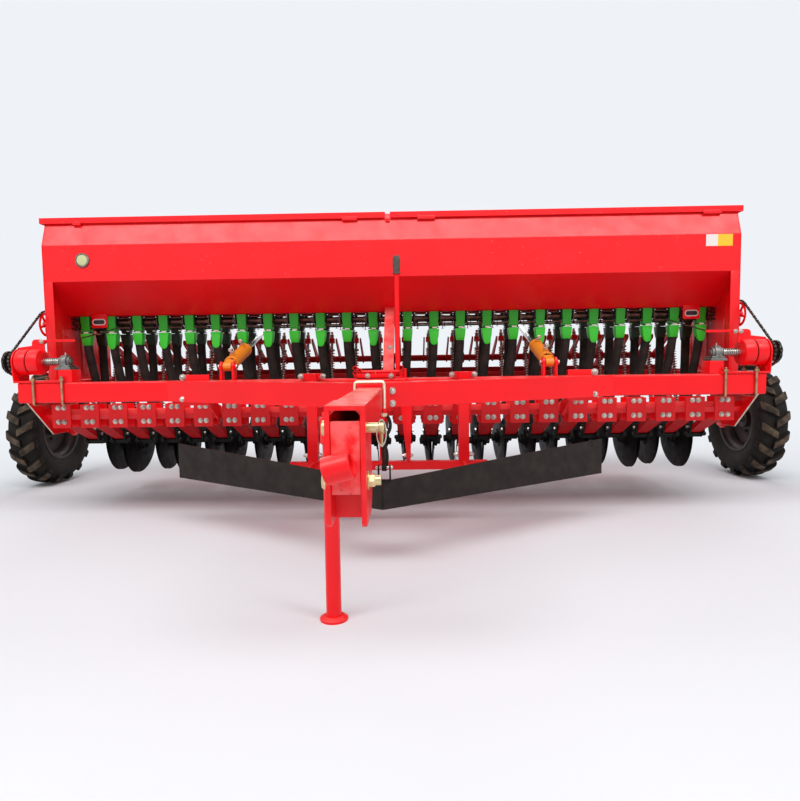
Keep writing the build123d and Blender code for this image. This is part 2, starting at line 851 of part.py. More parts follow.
# Hoses from the funnels to the openers' sockets
hose_rows = (
    ("hoses_front", cup_y_front, socket_front_y),
    ("hoses_rear", cup_y_rear, socket_rear_y),
)
hose_bend_radius = 0.7 * hose_drop
hose_upper_z = funnel_bottom - 0.27 * hose_drop
hose_lower_z = socket_top + 0.3 * hose_drop
for label, cup_y, socket_y in hose_rows:
    with BuildPart() as hoses:
        for side in (-1, 1):
            points = [
                (side * cup_shift, cup_y, funnel_bottom),
                (side * cup_shift, cup_y, hose_upper_z),
                (0, socket_y, hose_lower_z),
                (0, socket_y, socket_top),
            ]
            with BuildLine() as route:
                FilletPolyline(*points, radius=hose_bend_radius)
            with BuildSketch(Plane(origin=points[0], z_dir=(0, 0, -1))) as section:
                Circle(hose_radius)
            with Locations(*[(x, 0, 0) for x in row_xs if x * side > 0]):
                add(sweep(section.sketch, path=route.line, mode=Mode.PRIVATE))
    finish_part(hoses.part, label)

# Opener arms: a tapered arm with a bored boss at the pivot
arm_run = Vector(0, arm_tip_y - pivot_y, arm_tip_z - pivot_z)
arm_length = arm_run.length
arm_dir = arm_run.normalized()
arm_normal = Vector(1, 0, 0).cross(arm_dir)
boss_radius = 18.0
with BuildPart() as opener_arm:
    with BuildSketch(Plane(origin=(0, pivot_y, pivot_z), x_dir=(1, 0, 0), z_dir=arm_normal)):
        with BuildLine():
            Polyline(
                (-arm_root_half, 0),
                (arm_root_half, 0),
                (arm_tip_half, arm_length),
                (-arm_tip_half, arm_length),
                close=True,
            )
        make_face()
    extrude(amount=arm_depth / 2, both=True)
    side_disc(pivot_y, pivot_z, boss_radius, -arm_root_half, arm_root_half)
    side_disc(
        pivot_y,
        pivot_z,
        pivot_radius + running_gap,
        -arm_root_half - 1,
        arm_root_half + 1,
        Mode.SUBTRACT,
    )
with BuildPart() as opener_arms:
    repeat_along_x(opener_arm.part, row_xs)
finish_part(opener_arms.part, "opener_arms")

# Opener bodies: two cheeks beside the arm's tip, a web to the disc hub and two hose sockets
cheek_thick = 8.0
cheek_inner = arm_tip_half + 4
web_half = 7.0
boot_half = 10.0
boot_drop = 0.8 * disc_radius
boot_reach = 76.0
boot_toe = 26.0
body_front_y = 548.0
rod_eye_half = 5.0
front_row_xs = [x for x, y in zip(row_xs, hub_ys) if y == hub_y_front]
rear_row_xs = [x for x, y in zip(row_xs, hub_ys) if y == hub_y_rear]
opener_rows = ((hub_y_front, front_row_xs), (hub_y_rear, rear_row_xs))
socket_low = socket_top - 32
body_parts = []
for hub_y, xs in opener_rows:
    with BuildPart() as opener_body:
        cheek = [(476, 424), (body_front_y, 425), (body_front_y, 346), (520, 346), (484, 376)]
        for cheek_side in (-1, 1):
            side_plate(cheek, cheek_side * (cheek_inner + cheek_thick / 2), cheek_thick)
        block(-cheek_inner - 2, cheek_inner + 2, arm_tip_y + 9, body_front_y, 346, 425)
        web = [
            (body_front_y - 5, 425),
            (socket_front_y - 15, socket_top - 40),
            (socket_rear_y + 20, socket_top - 34),
            (rod_pin_y - 22, rod_pin_z + 14),
            (rod_pin_y + 14, rod_pin_z + 14),
            (hub_y + 60, hub_z + 16),
            (hub_y + 72, hub_z - 26),
            (hub_y, hub_z - 26),
            (hub_y - 80, hub_z - 6),
            (body_front_y - 5, 352),
        ]
        side_plate(web, 0, 2 * web_half)
        boot = [
            (hub_y + 10, hub_z - 22),
            (hub_y + 72, hub_z - 22),
            (hub_y + boot_reach, hub_z - boot_drop + 40),
            (hub_y + boot_reach - 14, hub_z - boot_drop),
            (hub_y + boot_reach - 14 - boot_toe, hub_z - boot_drop),
        ]
        side_plate(boot, 0, 2 * boot_half)
        side_disc(rod_pin_y, rod_pin_z, 22, -rod_eye_half - 1, rod_eye_half + 1, Mode.SUBTRACT)
        side_disc(rod_pin_y, rod_pin_z, rod_pin_radius, -web_half - 5, web_half + 5)
        for socket_y in (socket_front_y, socket_rear_y):
            with Locations((0, socket_y, (socket_low + socket_top) / 2)):
                Cylinder(hose_radius, socket_top - socket_low)
    body_parts.append((opener_body.part, xs))
with BuildPart() as opener_bodies:
    for body_part, xs in body_parts:
        repeat_along_x(body_part, xs)
finish_part(opener_bodies.part, "opener_bodies")

# Double discs: each leans towards the front foot, where the pair meets
lean = radians(disc_lean)
contact_dir = Vector(0, 0.766, 0.643)
hub_half_gap = disc_radius * sin(lean) + disc_thick / 2 + 2.5
hub_cap_radius = 33.0
disc_parts = []
for hub_y, xs in opener_rows:
    with BuildPart() as disc_pair:
        for side in (-1, 1):
            normal = (side * cos(lean), -sin(lean) * contact_dir.Y, -sin(lean) * contact_dir.Z)
            disc_plane = Plane(origin=(side * hub_half_gap, hub_y, hub_z), z_dir=normal)
            with BuildSketch(disc_plane):
                Circle(disc_radius)
            extrude(amount=disc_thick / 2, both=True)
            with BuildSketch(disc_plane):
                Circle(hub_cap_radius)
            extrude(amount=20)
            with BuildSketch(disc_plane.offset(20)):
                Circle(hub_cap_radius - 12)
            extrude(amount=20, taper=12)
            with BuildSketch(disc_plane.offset(-disc_thick / 2)):
                Circle(11)
            extrude(amount=-(hub_half_gap - disc_thick / 2 - web_half - 1.5))
    disc_parts.append((disc_pair.part, xs))
with BuildPart() as opener_discs:
    for disc_part, xs in disc_parts:
        repeat_along_x(disc_part, xs)
finish_part(opener_discs.part, "opener_discs")

# Pressure rods: an eye on the opener, the rod, its spring, the swivel block and the top nuts
rod_run = Vector(0, fork_tip_y - rod_pin_y, fork_tip_z - rod_pin_z)
rod_dir = rod_run.normalized()
fork_reach = rod_run.length


def rod_plane(along):
    """A plane square to the pressure rod at a distance from its lower pin."""
    spot = Vector(0, rod_pin_y, rod_pin_z) + rod_dir * along
    return Plane(origin=spot, x_dir=(1, 0, 0), z_dir=rod_dir)


spring_low = 98.0
spring_high = 452.0
spring_radius = 18.0
with BuildPart() as pressure_rod:
    side_disc(rod_pin_y, rod_pin_z, 14, -rod_eye_half, rod_eye_half)
    for radius, low, high in (
        (rod_eye_half - 0.6, 8, 60),
        (8, 58, fork_reach + 58),
        (spring_radius, spring_low, spring_high),
        (14, fork_reach + 15, fork_reach + 40),
    ):
        with BuildSketch(rod_plane(low)):
            Circle(radius)
        extrude(amount=high - low)
    with BuildSketch(rod_plane(fork_reach - 15)):
        Rectangle(34, 30)
    extrude(amount=30)
    side_disc(
        rod_pin_y,
        rod_pin_z,
        rod_pin_radius + running_gap,
        -rod_eye_half - 1,
        rod_eye_half + 1,
        Mode.SUBTRACT,
    )
with BuildPart() as pressure_rods:
    repeat_along_x(pressure_rod.part, row_xs)
finish_part(pressure_rods.part, "pressure_rods")

# Rock shaft with a fork over each pressure rod and a lever for each cylinder
lever_eye_y = rock_y + lever_length * cos(radians(lever_rest_angle))
lever_eye_z = rock_z + lever_length * sin(radians(lever_rest_angle))
with BuildPart() as fork:
    for prong in (-1, 1):
        prong_x = prong * (fork_gap_half + fork_plate / 2)
        side_link((rock_y, rock_z), 27, (fork_tip_y, fork_tip_z), 16, prong_x, fork_plate)
with BuildPart() as lever:
    side_link((rock_y, rock_z), 32, (lever_eye_y, lever_eye_z), 24, 0, lever_plate)
    side_disc(
        lever_eye_y,
        lever_eye_z,
        cylinder_pin_radius + running_gap,
        -lever_plate,
        lever_plate,
        Mode.SUBTRACT,
    )
with BuildPart() as rock_shaft:
    side_disc(rock_y, rock_z, rock_radius, -rock_half, rock_half)
    repeat_along_x(fork.part, row_xs)
    repeat_along_x(lever.part, (-lever_x, lever_x))
finish_part(rock_shaft.part, "rock_shaft")

# Rock shaft bearings: a leaning plate with a ring on each
bearing_pitch = 3 * row_pitch
bearing_end_x = rock_half - 15
bearing_xs = [-bearing_end_x] + [i * bearing_pitch for i in range(-3, 4)] + [bearing_end_x]
ring_radius = 34.0
ring_width = 24.0
with BuildPart() as shaft_bearing:
    foot_y = axle_front_y + carrier_margin
    bracket = [
        (foot_y, carrier_top),
        (axle_rear_y - carrier_margin, carrier_top),
        (rock_y + 30, rock_z + 10),
        (rock_y, rock_z),
        (rock_y, rock_z - 30),
    ]
    side_plate(bracket, 0, 12)
    side_disc(rock_y, rock_z, ring_radius, -ring_width / 2, ring_width / 2)
    side_disc(rock_y, rock_z, rock_radius + running_gap, -ring_width, ring_width, Mode.SUBTRACT)
with BuildPart() as shaft_bearings:
    repeat_along_x(shaft_bearing.part, bearing_xs)
finish_part(shaft_bearings.part, "shaft_bearings")

# Lift cylinders: the barrel turns on the front beam's clevis, the rod's fork straddles the lever
cylinder_run = Vector(0, lever_eye_y - cylinder_pin_y, lever_eye_z - cylinder_pin_z)
cylinder_dir = cylinder_run.normalized()
cylinder_reach = cylinder_run.length


def cylinder_plane(x, along):
    """A plane square to the lift cylinder at a distance from its front pin."""
    spot = Vector(x, cylinder_pin_y, cylinder_pin_z) + cylinder_dir * along
    return Plane(origin=spot, x_dir=(1, 0, 0), z_dir=cylinder_dir)


barrel_bore = rod_radius + running_gap
rod_tail = 300.0
fork_ear = 10.0
fork_inner = lever_plate / 2 + 5
fork_depth = 74.0
for name, side in sides.items():
    x = side * lever_x
    with BuildPart() as cylinder_barrel:
        with BuildSketch(cylinder_plane(x, 0)) as eye_block:
            Rectangle(2 * (ear_half_gap - 5), 40)
        extrude(eye_block.sketch, amount=62)
        side_disc(
            cylinder_pin_y,
            cylinder_pin_z,
            22,
            x - ear_half_gap + 5,
            x + ear_half_gap - 5,
        )
        with BuildSketch(cylinder_plane(x, 52)) as barrel_section:
            Circle(barrel_radius)
        extrude(barrel_section.sketch, amount=barrel_length - 52)
        with BuildSketch(cylinder_plane(x, rod_tail - stroke - 12)) as bore_section:
            Circle(barrel_bore)
        extrude(bore_section.sketch, amount=barrel_length, mode=Mode.SUBTRACT)
        side_disc(
            cylinder_pin_y,
            cylinder_pin_z,
            cylinder_pin_radius + running_gap,
            x - ear_half_gap,
            x + ear_half_gap,
            Mode.SUBTRACT,
        )
    finish_part(cylinder_barrel.part, f"cylinder_barrel_{name}")
    with BuildPart() as cylinder_rod:
        with BuildSketch(cylinder_plane(x, rod_tail)) as rod_section:
            Circle(rod_radius)
        extrude(rod_section.sketch, amount=cylinder_reach - rod_tail - fork_depth + 10)
        with BuildSketch(cylinder_plane(x, cylinder_reach - fork_depth)) as bridge:
            Rectangle(2 * (fork_inner + fork_ear), 40)
        extrude(bridge.sketch, amount=20)
        for ear in (-1, 1):
            ear_low = x + ear * (fork_inner + fork_ear / 2) - fork_ear / 2
            side_disc(lever_eye_y, lever_eye_z, 22, ear_low, ear_low + fork_ear)
            with BuildSketch(cylinder_plane(ear_low + fork_ear / 2, cylinder_reach - fork_depth)) as ear_bar:
                Rectangle(fork_ear, 40)
            extrude(ear_bar.sketch, amount=fork_depth)
        side_disc(
            lever_eye_y,
            lever_eye_z,
            cylinder_pin_radius + running_gap,
            x - 40,
            x + 40,
            Mode.SUBTRACT,
        )
    finish_part(cylinder_rod.part, f"cylinder_rod_{name}")

# Side drives: a bracket on the front beam, the clutch drum with its shaft and sprockets, two chains
drive_plate = 6.0
deck_thick = 10.0
deck_top = frame_top + deck_thick
for name, side in sides.items():
    with BuildPart() as drive_bracket:
        deck_xs = sorted((side * bearing_x, side * (drive_plate_x + drive_plate)))
        block(*deck_xs, beam_front_y - 5, beam_rear_y + 15, frame_top, deck_top)
        plate_middle = side * (drive_plate_x + drive_plate / 2)
        side_plate(
            [
                (beam_front_y - 5, deck_top),
                (beam_rear_y + 15, deck_top),
                (drive_y + drum_radius, drive_z),
                (drive_y - drum_radius, drive_z),
            ],
            plate_middle,
            drive_plate,
        )
        side_disc(
            drive_y,
            drive_z,
            drum_radius,
            plate_middle - drive_plate / 2,
            plate_middle + drive_plate / 2,
        )
        box_xs = sorted((side * (bearing_x - 50), side * (bearing_x + 5)))
        block(*box_xs, beam_front_y + 10, beam_rear_y - 10, frame_top, drive_z - 40)
        pillow_xs = sorted((side * (bearing_x - 14), side * (bearing_x + 14)))
        block(*pillow_xs, drive_y - 36, drive_y + 36, drive_z - 42, drive_z - 10)
        side_disc(drive_y, drive_z, 32, *pillow_xs)
        side_disc(drive_y, drive_z, drive_shaft_radius + running_gap, -axle_half, axle_half, Mode.SUBTRACT)
    finish_part(drive_bracket.part, f"drive_bracket_{name}")
    with BuildPart() as drive_line:
        split_x = drum_inner_x + drum_split
        turned = (
            (drive_shaft_radius, bearing_x - 29, chain_outer_x + 12),
            (drum_radius - 1, drum_inner_x, split_x),
            (drum_radius - 9, split_x - 3, split_x + 6),
            (drum_radius - 1, split_x + 3, drive_plate_x - 3),
            (sprocket_radius, chain_inner_x - 4, chain_inner_x + 4),
            (sprocket_radius, chain_outer_x - 4, chain_outer_x + 4),
            (sprocket_hub_radius, drive_plate_x + 12, chain_outer_x + 8),
        )
        for radius, near_x, far_x in turned:
            side_disc(drive_y, drive_z, radius, *sorted((side * near_x, side * far_x)))
        rim_xs = sorted((side * (chain_inner_x - 4), side * (chain_inner_x + 4)))
        side_disc(wheel_sprocket_y, wheel_sprocket_z, spoke_wheel_radius, *rim_xs)
        side_disc(wheel_sprocket_y, wheel_sprocket_z, spoke_wheel_radius - spoke_rim, *rim_xs, Mode.SUBTRACT)
        hub_xs = sorted((side * (hopper_half + end_plate_thick + seat_gap), side * (chain_inner_x + 12)))
        side_disc(wheel_sprocket_y, wheel_sprocket_z, spoke_hub_radius, *hub_xs)
        with BuildSketch(side_plane(side * chain_inner_x)) as spokes:
            with Locations((wheel_sprocket_y, wheel_sprocket_z)):
                with PolarLocations(spoke_wheel_radius / 2, spoke_count):
                    Rectangle(spoke_wheel_radius - spoke_rim / 2, spoke_width)
        extrude(spokes.sketch, amount=spoke_width / 3, both=True)
    finish_part(drive_line.part, f"drive_line_{name}")
    chains = (
        (chain_outer_x, (drive_y, drive_z), chain_pitch_radius, (wheel_y, wheel_radius), chain_pitch_radius),
        (
            chain_inner_x,
            (drive_y, drive_z),
            chain_pitch_radius,
            (wheel_sprocket_y, wheel_sprocket_z),
            spoke_wheel_radius + chain_seat + chain_size / 2,
        ),
    )
    with BuildPart() as drive_chains:
        for chain_x, start, start_radius, end, end_radius in chains:
            middle = side * chain_x
            half = chain_size / 2
            side_link(start, start_radius + half, end, end_radius + half, middle, chain_size)
            side_link(start, start_radius - half, end, end_radius - half, middle, chain_size, Mode.SUBTRACT)
    finish_part(drive_chains.part, f"drive_chains_{name}")

# Centre strut from the front beam to the hopper's lower facet
strut_width = 54.0
with BuildPart() as centre_strut:
    strut_outline = [
        (66, frame_top),
        (126, frame_top),
        (trough_front_y + 1, trough_z - 15),
        (trough_front_y - 31, trough_z + 21),
    ]
    side_plate(strut_outline, 0, strut_width)
finish_part(centre_strut.part, "centre_strut")

# Hand lever standing on the front beam
hand_lever_x = 50.0
hand_lever_y = 45.0
lever_top = knee_low_z + 69
grip_length = 85.0
with BuildPart() as hand_lever:
    block(
        hand_lever_x - 16,
        hand_lever_x + 16,
        hand_lever_y - 20,
        hand_lever_y + 15,
        frame_top,
        frame_top + 40,
    )
    grip_low = lever_top - grip_length
    rod_between((hand_lever_x, hand_lever_y, frame_top + 30), (hand_lever_x, hand_lever_y, grip_low + 18), 10)
    rod_between((hand_lever_x, hand_lever_y, grip_low), (hand_lever_x, hand_lever_y, lever_top), 15)
finish_part(hand_lever.part, "hand_lever")

# Footboard behind the machine, on arms from the axle beam
footboard_arm_pitch = (footboard_half - 80) / 4
footboard_arm_xs = [i * footboard_arm_pitch for i in range(-4, 5)]
with BuildPart() as footboard:
    block(
        -footboard_half,
        footboard_half,
        footboard_front_y,
        footboard_rear_y,
        footboard_top - footboard_sheet,
        footboard_top,
    )
    for lip_y in (footboard_front_y, footboard_rear_y - footboard_sheet):
        block(
            -footboard_half,
            footboard_half,
            lip_y,
            lip_y + footboard_sheet,
            footboard_top - 40,
            footboard_top,
        )
    for x in footboard_arm_xs:
        side_plate(
            [
                (axle_rear_y, frame_bottom + 70),
                (axle_rear_y + 14, frame_bottom + 70),
                (axle_rear_y + 14, footboard_top),
                (footboard_rear_y - 20, footboard_top - footboard_sheet),
                (footboard_rear_y - 20, footboard_top - 38),
                (axle_rear_y, footboard_top - 38),
            ],
            x,
            10,
        )
finish_part(footboard.part, "footboard")

# Tyre about the X axis: a carcass of flat facets under two rows of tread bars, half a step apart
half = tyre_width / 2
bead_half = rim_half - 4.5
crown_radius = wheel_radius - lug_depth
sidewall = crown_radius - flange_radius
flex_radius = flange_radius + 0.34 * sidewall
shoulder_radius = crown_radius - 0.38 * sidewall
edge_radius = crown_radius - 0.2 * sidewall
facet_count = 2 * lug_count
facet_step = radians(360 / facet_count)
facet_reach = wheel_radius * sin(facet_step)
bar_foot = crown_radius - 0.3 * sidewall
bar_far_y = (lug_sweep + lug_width) / 2
bar_top = (wheel_radius - bar_far_y * sin(facet_step)) / cos(facet_step)
turns = [Location((0, 0, 0), (i * 360 / facet_count, 0, 0)) for i in range(facet_count)]
with BuildPart() as tyre_facet:
    with BuildSketch(Plane.XZ) as carcass_section:
        with BuildLine():
            Polyline(
                (-bead_half, bead_radius - 6),
                (bead_half, bead_radius - 6),
                (bead_half, flange_radius + 2),
                (half - 3, flex_radius),
                (half, shoulder_radius),
                (half - 4, edge_radius),
                (half - 26, crown_radius),
                (-half + 26, crown_radius),
                (-half + 4, edge_radius),
                (-half, shoulder_radius),
                (-half + 3, flex_radius),
                (-bead_half, flange_radius + 2),
                close=True,
            )
        make_face()
    extrude(carcass_section.sketch, amount=facet_reach, both=True)
    with BuildSketch(Plane.YZ) as wedge:
        with BuildLine():
            wedge_half = wheel_radius * tan(facet_step / 2)
            Polyline((0, 0), (wedge_half, wheel_radius), (-wedge_half, wheel_radius), close=True)
        make_face()
    extrude(wedge.sketch, amount=tyre_width, both=True, mode=Mode.INTERSECT)
with BuildPart() as tread_bar:
    with BuildSketch(Plane.XY.offset(bar_foot)) as bar_plan:
        with BuildLine():
            Polyline(
                (-8, -bar_far_y),
                (-8, lug_width - bar_far_y),
                (half, bar_far_y),
                (half, bar_far_y - lug_width),
                close=True,
            )
        make_face()
    extrude(bar_plan.sketch, amount=bar_top - bar_foot)
    with BuildSketch(Plane.XZ) as bar_section:
        with BuildLine():
            Polyline(
                (-8, bar_foot),
                (-8, bar_top),
                (half - 15, bar_top),
                (half - 2, bar_top - 28),
                (half - 2, bar_foot),
                close=True,
            )
        make_face()
    extrude(bar_section.sketch, amount=tyre_width, both=True, mode=Mode.INTERSECT)
with BuildPart() as tyre_at_origin:
    with Locations(*turns):
        add(tyre_facet.part)
    side_disc(0, 0, bead_radius + seat_gap, -half, half, Mode.SUBTRACT)
    with Locations(*turns[::2]):
        add(tread_bar.part)
    with Locations(*turns[1::2]):
        add(mirror(tread_bar.part, about=Plane.YZ, mode=Mode.PRIVATE))

# Land wheels: tyre, rim and the axle shaft with its sprocket
for name, side in sides.items():
    centre_x = side * wheel_x
    with BuildPart() as tyre:
        with Locations((centre_x, wheel_y, wheel_radius)):
            add(tyre_at_origin.part)
    finish_part(tyre.part, f"tyre_{name}")
    with BuildPart() as wheel_rim:
        wheel_plane = Plane(origin=(centre_x, wheel_y, wheel_radius), x_dir=(1, 0, 0), z_dir=(0, -1, 0))
        with BuildSketch(wheel_plane):
            with BuildLine():
                Polyline(
                    (-rim_half, bead_radius - 8),
                    (rim_half, bead_radius - 8),
                    (rim_half, flange_radius),
                    (rim_half - 3 + seat_gap, flange_radius),
                    (rim_half - 3 + seat_gap, bead_radius),
                    (-rim_half + 3 - seat_gap, bead_radius),
                    (-rim_half + 3 - seat_gap, flange_radius),
                    (-rim_half, flange_radius),
                    close=True,
                )
            make_face()
            with Locations((side * 22, (hub_radius + bead_radius) / 2 - 9)):
                Rectangle(8, bead_radius - hub_radius + 6)
            with Locations((side * 12, (shaft_radius + seat_gap + hub_radius) / 2)):
                Rectangle(60, hub_radius - shaft_radius - seat_gap)
        revolve(axis=Axis((centre_x, wheel_y, wheel_radius), (1, 0, 0)))
    finish_part(wheel_rim.part, f"wheel_rim_{name}")
    with BuildPart() as wheel_axle:
        axle_xs = sorted((side * (leg_inner_x - 30), side * (wheel_x + 46)))
        side_disc(wheel_y, wheel_radius, shaft_radius, *axle_xs)
        side_disc(
            wheel_y,
            wheel_radius,
            sprocket_radius,
            *sorted((side * (chain_outer_x - 4), side * (chain_outer_x + 4))),
        )
    finish_part(wheel_axle.part, f"wheel_axle_{name}")

print(len(finished), "pieces written")
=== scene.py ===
"""Looks of a trailed seed drill: finishes for its solids, and the pieces that only show."""

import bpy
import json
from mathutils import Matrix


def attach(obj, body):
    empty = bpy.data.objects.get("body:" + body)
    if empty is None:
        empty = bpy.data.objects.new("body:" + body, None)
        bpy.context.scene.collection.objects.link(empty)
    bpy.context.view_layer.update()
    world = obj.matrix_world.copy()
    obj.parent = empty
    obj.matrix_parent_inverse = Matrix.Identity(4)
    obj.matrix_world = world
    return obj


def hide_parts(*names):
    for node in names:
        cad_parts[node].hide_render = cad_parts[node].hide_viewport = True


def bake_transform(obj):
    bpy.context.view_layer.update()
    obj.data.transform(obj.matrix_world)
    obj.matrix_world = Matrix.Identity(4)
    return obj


bl_info = {
    "name": "Seed drill looks",
    "version": (1, 0, 0),
    "blender": (4, 5, 0),
    "location": "3D View > Sidebar > Seed drill",
    "description": "Dresses the solids of a trailed seed drill with paint, bolts, tread, springs and chain",
    "category": "Object",
}

import json
from math import atan2, cos, pi, radians, sin, sqrt

import bmesh
import bpy
from mathutils import Matrix, Vector

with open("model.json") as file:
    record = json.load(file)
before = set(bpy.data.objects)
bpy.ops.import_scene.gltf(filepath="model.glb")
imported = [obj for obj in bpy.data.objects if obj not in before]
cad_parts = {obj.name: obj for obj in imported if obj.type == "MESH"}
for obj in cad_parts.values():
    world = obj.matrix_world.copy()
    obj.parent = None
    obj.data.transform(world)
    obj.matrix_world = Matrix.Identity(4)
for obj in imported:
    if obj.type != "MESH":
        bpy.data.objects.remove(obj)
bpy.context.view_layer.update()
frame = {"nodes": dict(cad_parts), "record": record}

# Places that the solids share, in millimetres, ground at z = 0, hitch towards -Y
SIDES = {"left": -1, "right": 1}
ROW_COUNT, ROW_PITCH = 24, 150.0
ROW_XS = [(i - (ROW_COUNT - 1) / 2) * ROW_PITCH for i in range(ROW_COUNT)]
CUP_SHIFT = 22.5
CUP_XS = [x + (CUP_SHIFT if x > 0 else -CUP_SHIFT) for x in ROW_XS]
CUP_YS = {"front": 537.0, "rear": 703.0}
SOCKET_YS = {"front": 610.0, "rear": 668.0}
DISC_ROWS = {730.0: ROW_XS[1::2], 830.0: ROW_XS[0::2]}
DISC_Z = 315.0
BEAM_BOTTOM, BEAM_FRONT, BEAM_REAR = 621.0, 5.0, 105.0
# What lies on the beam starts a hair above its top face
DECK = 721.2
TYRE_RADIUS = 377.0
WHEEL_X, WHEEL_Y, WHEEL_Z = 2350.0, 1143.0, TYRE_RADIUS
HOPPER_HALF, HOPPER_FRONT = 1831.0, 286.0
# The side drive's shaft, the spoked wheel's shaft, and the planes of the two chains
DRIVE_Y, DRIVE_Z = 55.0, 824.0
SPOKED_Y, SPOKED_Z = 330.0, 1025.0
UPPER_CHAIN_X, WHEEL_CHAIN_X = 1860.0, 1888.0


def linear(code):
    """Turn an sRGB hex colour to linear red, green and blue."""
    channels = [int(code[i : i + 2], 16) / 255 for i in (1, 3, 5)]
    return [c / 12.92 if c <= 0.04045 else ((c + 0.055) / 1.055) ** 2.4 for c in channels]


def colour_property(name, description, code):
    """A colour setting with its sRGB default."""
    return bpy.props.FloatVectorProperty(
        name=name, description=description, subtype="COLOR", size=3, default=linear(code)
    )


def length_property(name, description, metres):
    """A length setting."""
    return bpy.props.FloatProperty(name=name, description=description, default=metres, unit="LENGTH")


class DrillColours(bpy.types.PropertyGroup):
    """Colours of the drill's finishes."""

    red: colour_property("Red enamel", "Main paint", "#FA0A16")
    dark_red: colour_property("Shaded red", "Paint low on the machine", "#B4080F")
    orange: colour_property("Cylinder orange", "Lift cylinders", "#E8881A")
    green: colour_property("Cup green", "Seed funnels", "#36D42E")
    dark_green: colour_property("Chute green", "Chutes above the funnels", "#22AE18")
    backdrop: colour_property("Backdrop", "Floor and background", "#EFF3F8")


class DrillSizes(bpy.types.PropertyGroup):
    """Sizes of the pieces that only show."""

    lug_count: bpy.props.IntProperty(name="Lugs a side", description="Tread bars on each half of a tyre", default=17)
    lug_width: length_property("Lug width", "Width of a tread bar at its top", 0.044)
    spring_wire: length_property("Spring wire", "Wire diameter of the pressure springs", 0.006)
    edge_radius: length_property("Edge radius", "Rounding of sheared and sawn edges", 0.002)
    chain_pitch: length_property("Chain pitch", "Pitch of the wheel drive's roller chain", 0.01905)


# Shaders


def add(tree, kind, inputs=None, **settings):
    """Add a node with its settings, values and links."""
    item = tree.nodes.new(kind)
    for key, value in settings.items():
        setattr(item, key, value)
    for key, value in (inputs or {}).items():
        if isinstance(value, bpy.types.NodeSocket):
            tree.links.new(value, item.inputs[key])
        else:
            item.inputs[key].default_value = value
    return item


def begin(name, roughness=0.5, metallic=0.0, **sockets):
    """A new material with its shader and its place on Object coordinates."""
    material = bpy.data.materials.new(name)
    material.use_nodes = True
    tree = material.node_tree
    tree.nodes.clear()
    shader = add(tree, "ShaderNodeBsdfPrincipled", {"Roughness": roughness, "Metallic": metallic})
    for key, value in sockets.items():
        shader.inputs[key.replace("_", " ")].default_value = value
    add(tree, "ShaderNodeOutputMaterial", {"Surface": shader.outputs[0]})
    where = add(tree, "ShaderNodeTexCoord").outputs["Object"]
    place = add(tree, "ShaderNodeMapping", {"Vector": where}).outputs[0]
    return material, tree, shader, place


def grain(tree, place, millimetres, low, high, detail=3.0, stretch=None):
    """A noise with features of a real size, as a factor from 0 to 1."""
    if stretch:
        place = add(tree, "ShaderNodeMapping", {"Vector": place, "Scale": stretch}).outputs[0]
    noise = add(tree, "ShaderNodeTexNoise", {"Vector": place, "Scale": 1000.0 / millimetres, "Detail": detail})
    return add(tree, "ShaderNodeMapRange", {"Value": noise.outputs[0], "From Min": low, "From Max": high}).outputs[0]


def blend_colours(tree, factor, first, second):
    """Mix two colours by a factor."""
    mix = add(tree, "ShaderNodeMix", {"Factor": factor}, data_type="RGBA")
    for index, colour in ((6, first), (7, second)):
        if isinstance(colour, bpy.types.NodeSocket):
            tree.links.new(colour, mix.inputs[index])
        else:
            mix.inputs[index].default_value = (*colour, 1.0)
    return mix.outputs[2]


def relief(tree, shader, height, depth):
    """Bump of a real depth in millimetres."""
    bump = add(tree, "ShaderNodeBump", {"Height": height, "Distance": depth / 1000.0, "Strength": 1.0})
    tree.links.new(bump.outputs[0], shader.inputs["Normal"])


def vary_roughness(tree, shader, factor, low, high):
    """Roughness between two values."""
    span = add(tree, "ShaderNodeMapRange", {"Value": factor, "To Min": low, "To Max": high})
    tree.links.new(span.outputs[0], shader.inputs["Roughness"])


def up_facing(tree, start, end):
    """How far a surface faces the sky, as a factor."""
    normal = add(tree, "ShaderNodeNewGeometry").outputs["Normal"]
    height = add(tree, "ShaderNodeSeparateXYZ", {"Vector": normal}).outputs["Z"]
    return add(tree, "ShaderNodeMapRange", {"Value": height, "From Min": start, "From Max": end}).outputs[0]


def times(tree, first, second):
    """The product of two factors."""
    return add(tree, "ShaderNodeMath", {0: first, 1: second}, operation="MULTIPLY").outputs[0]


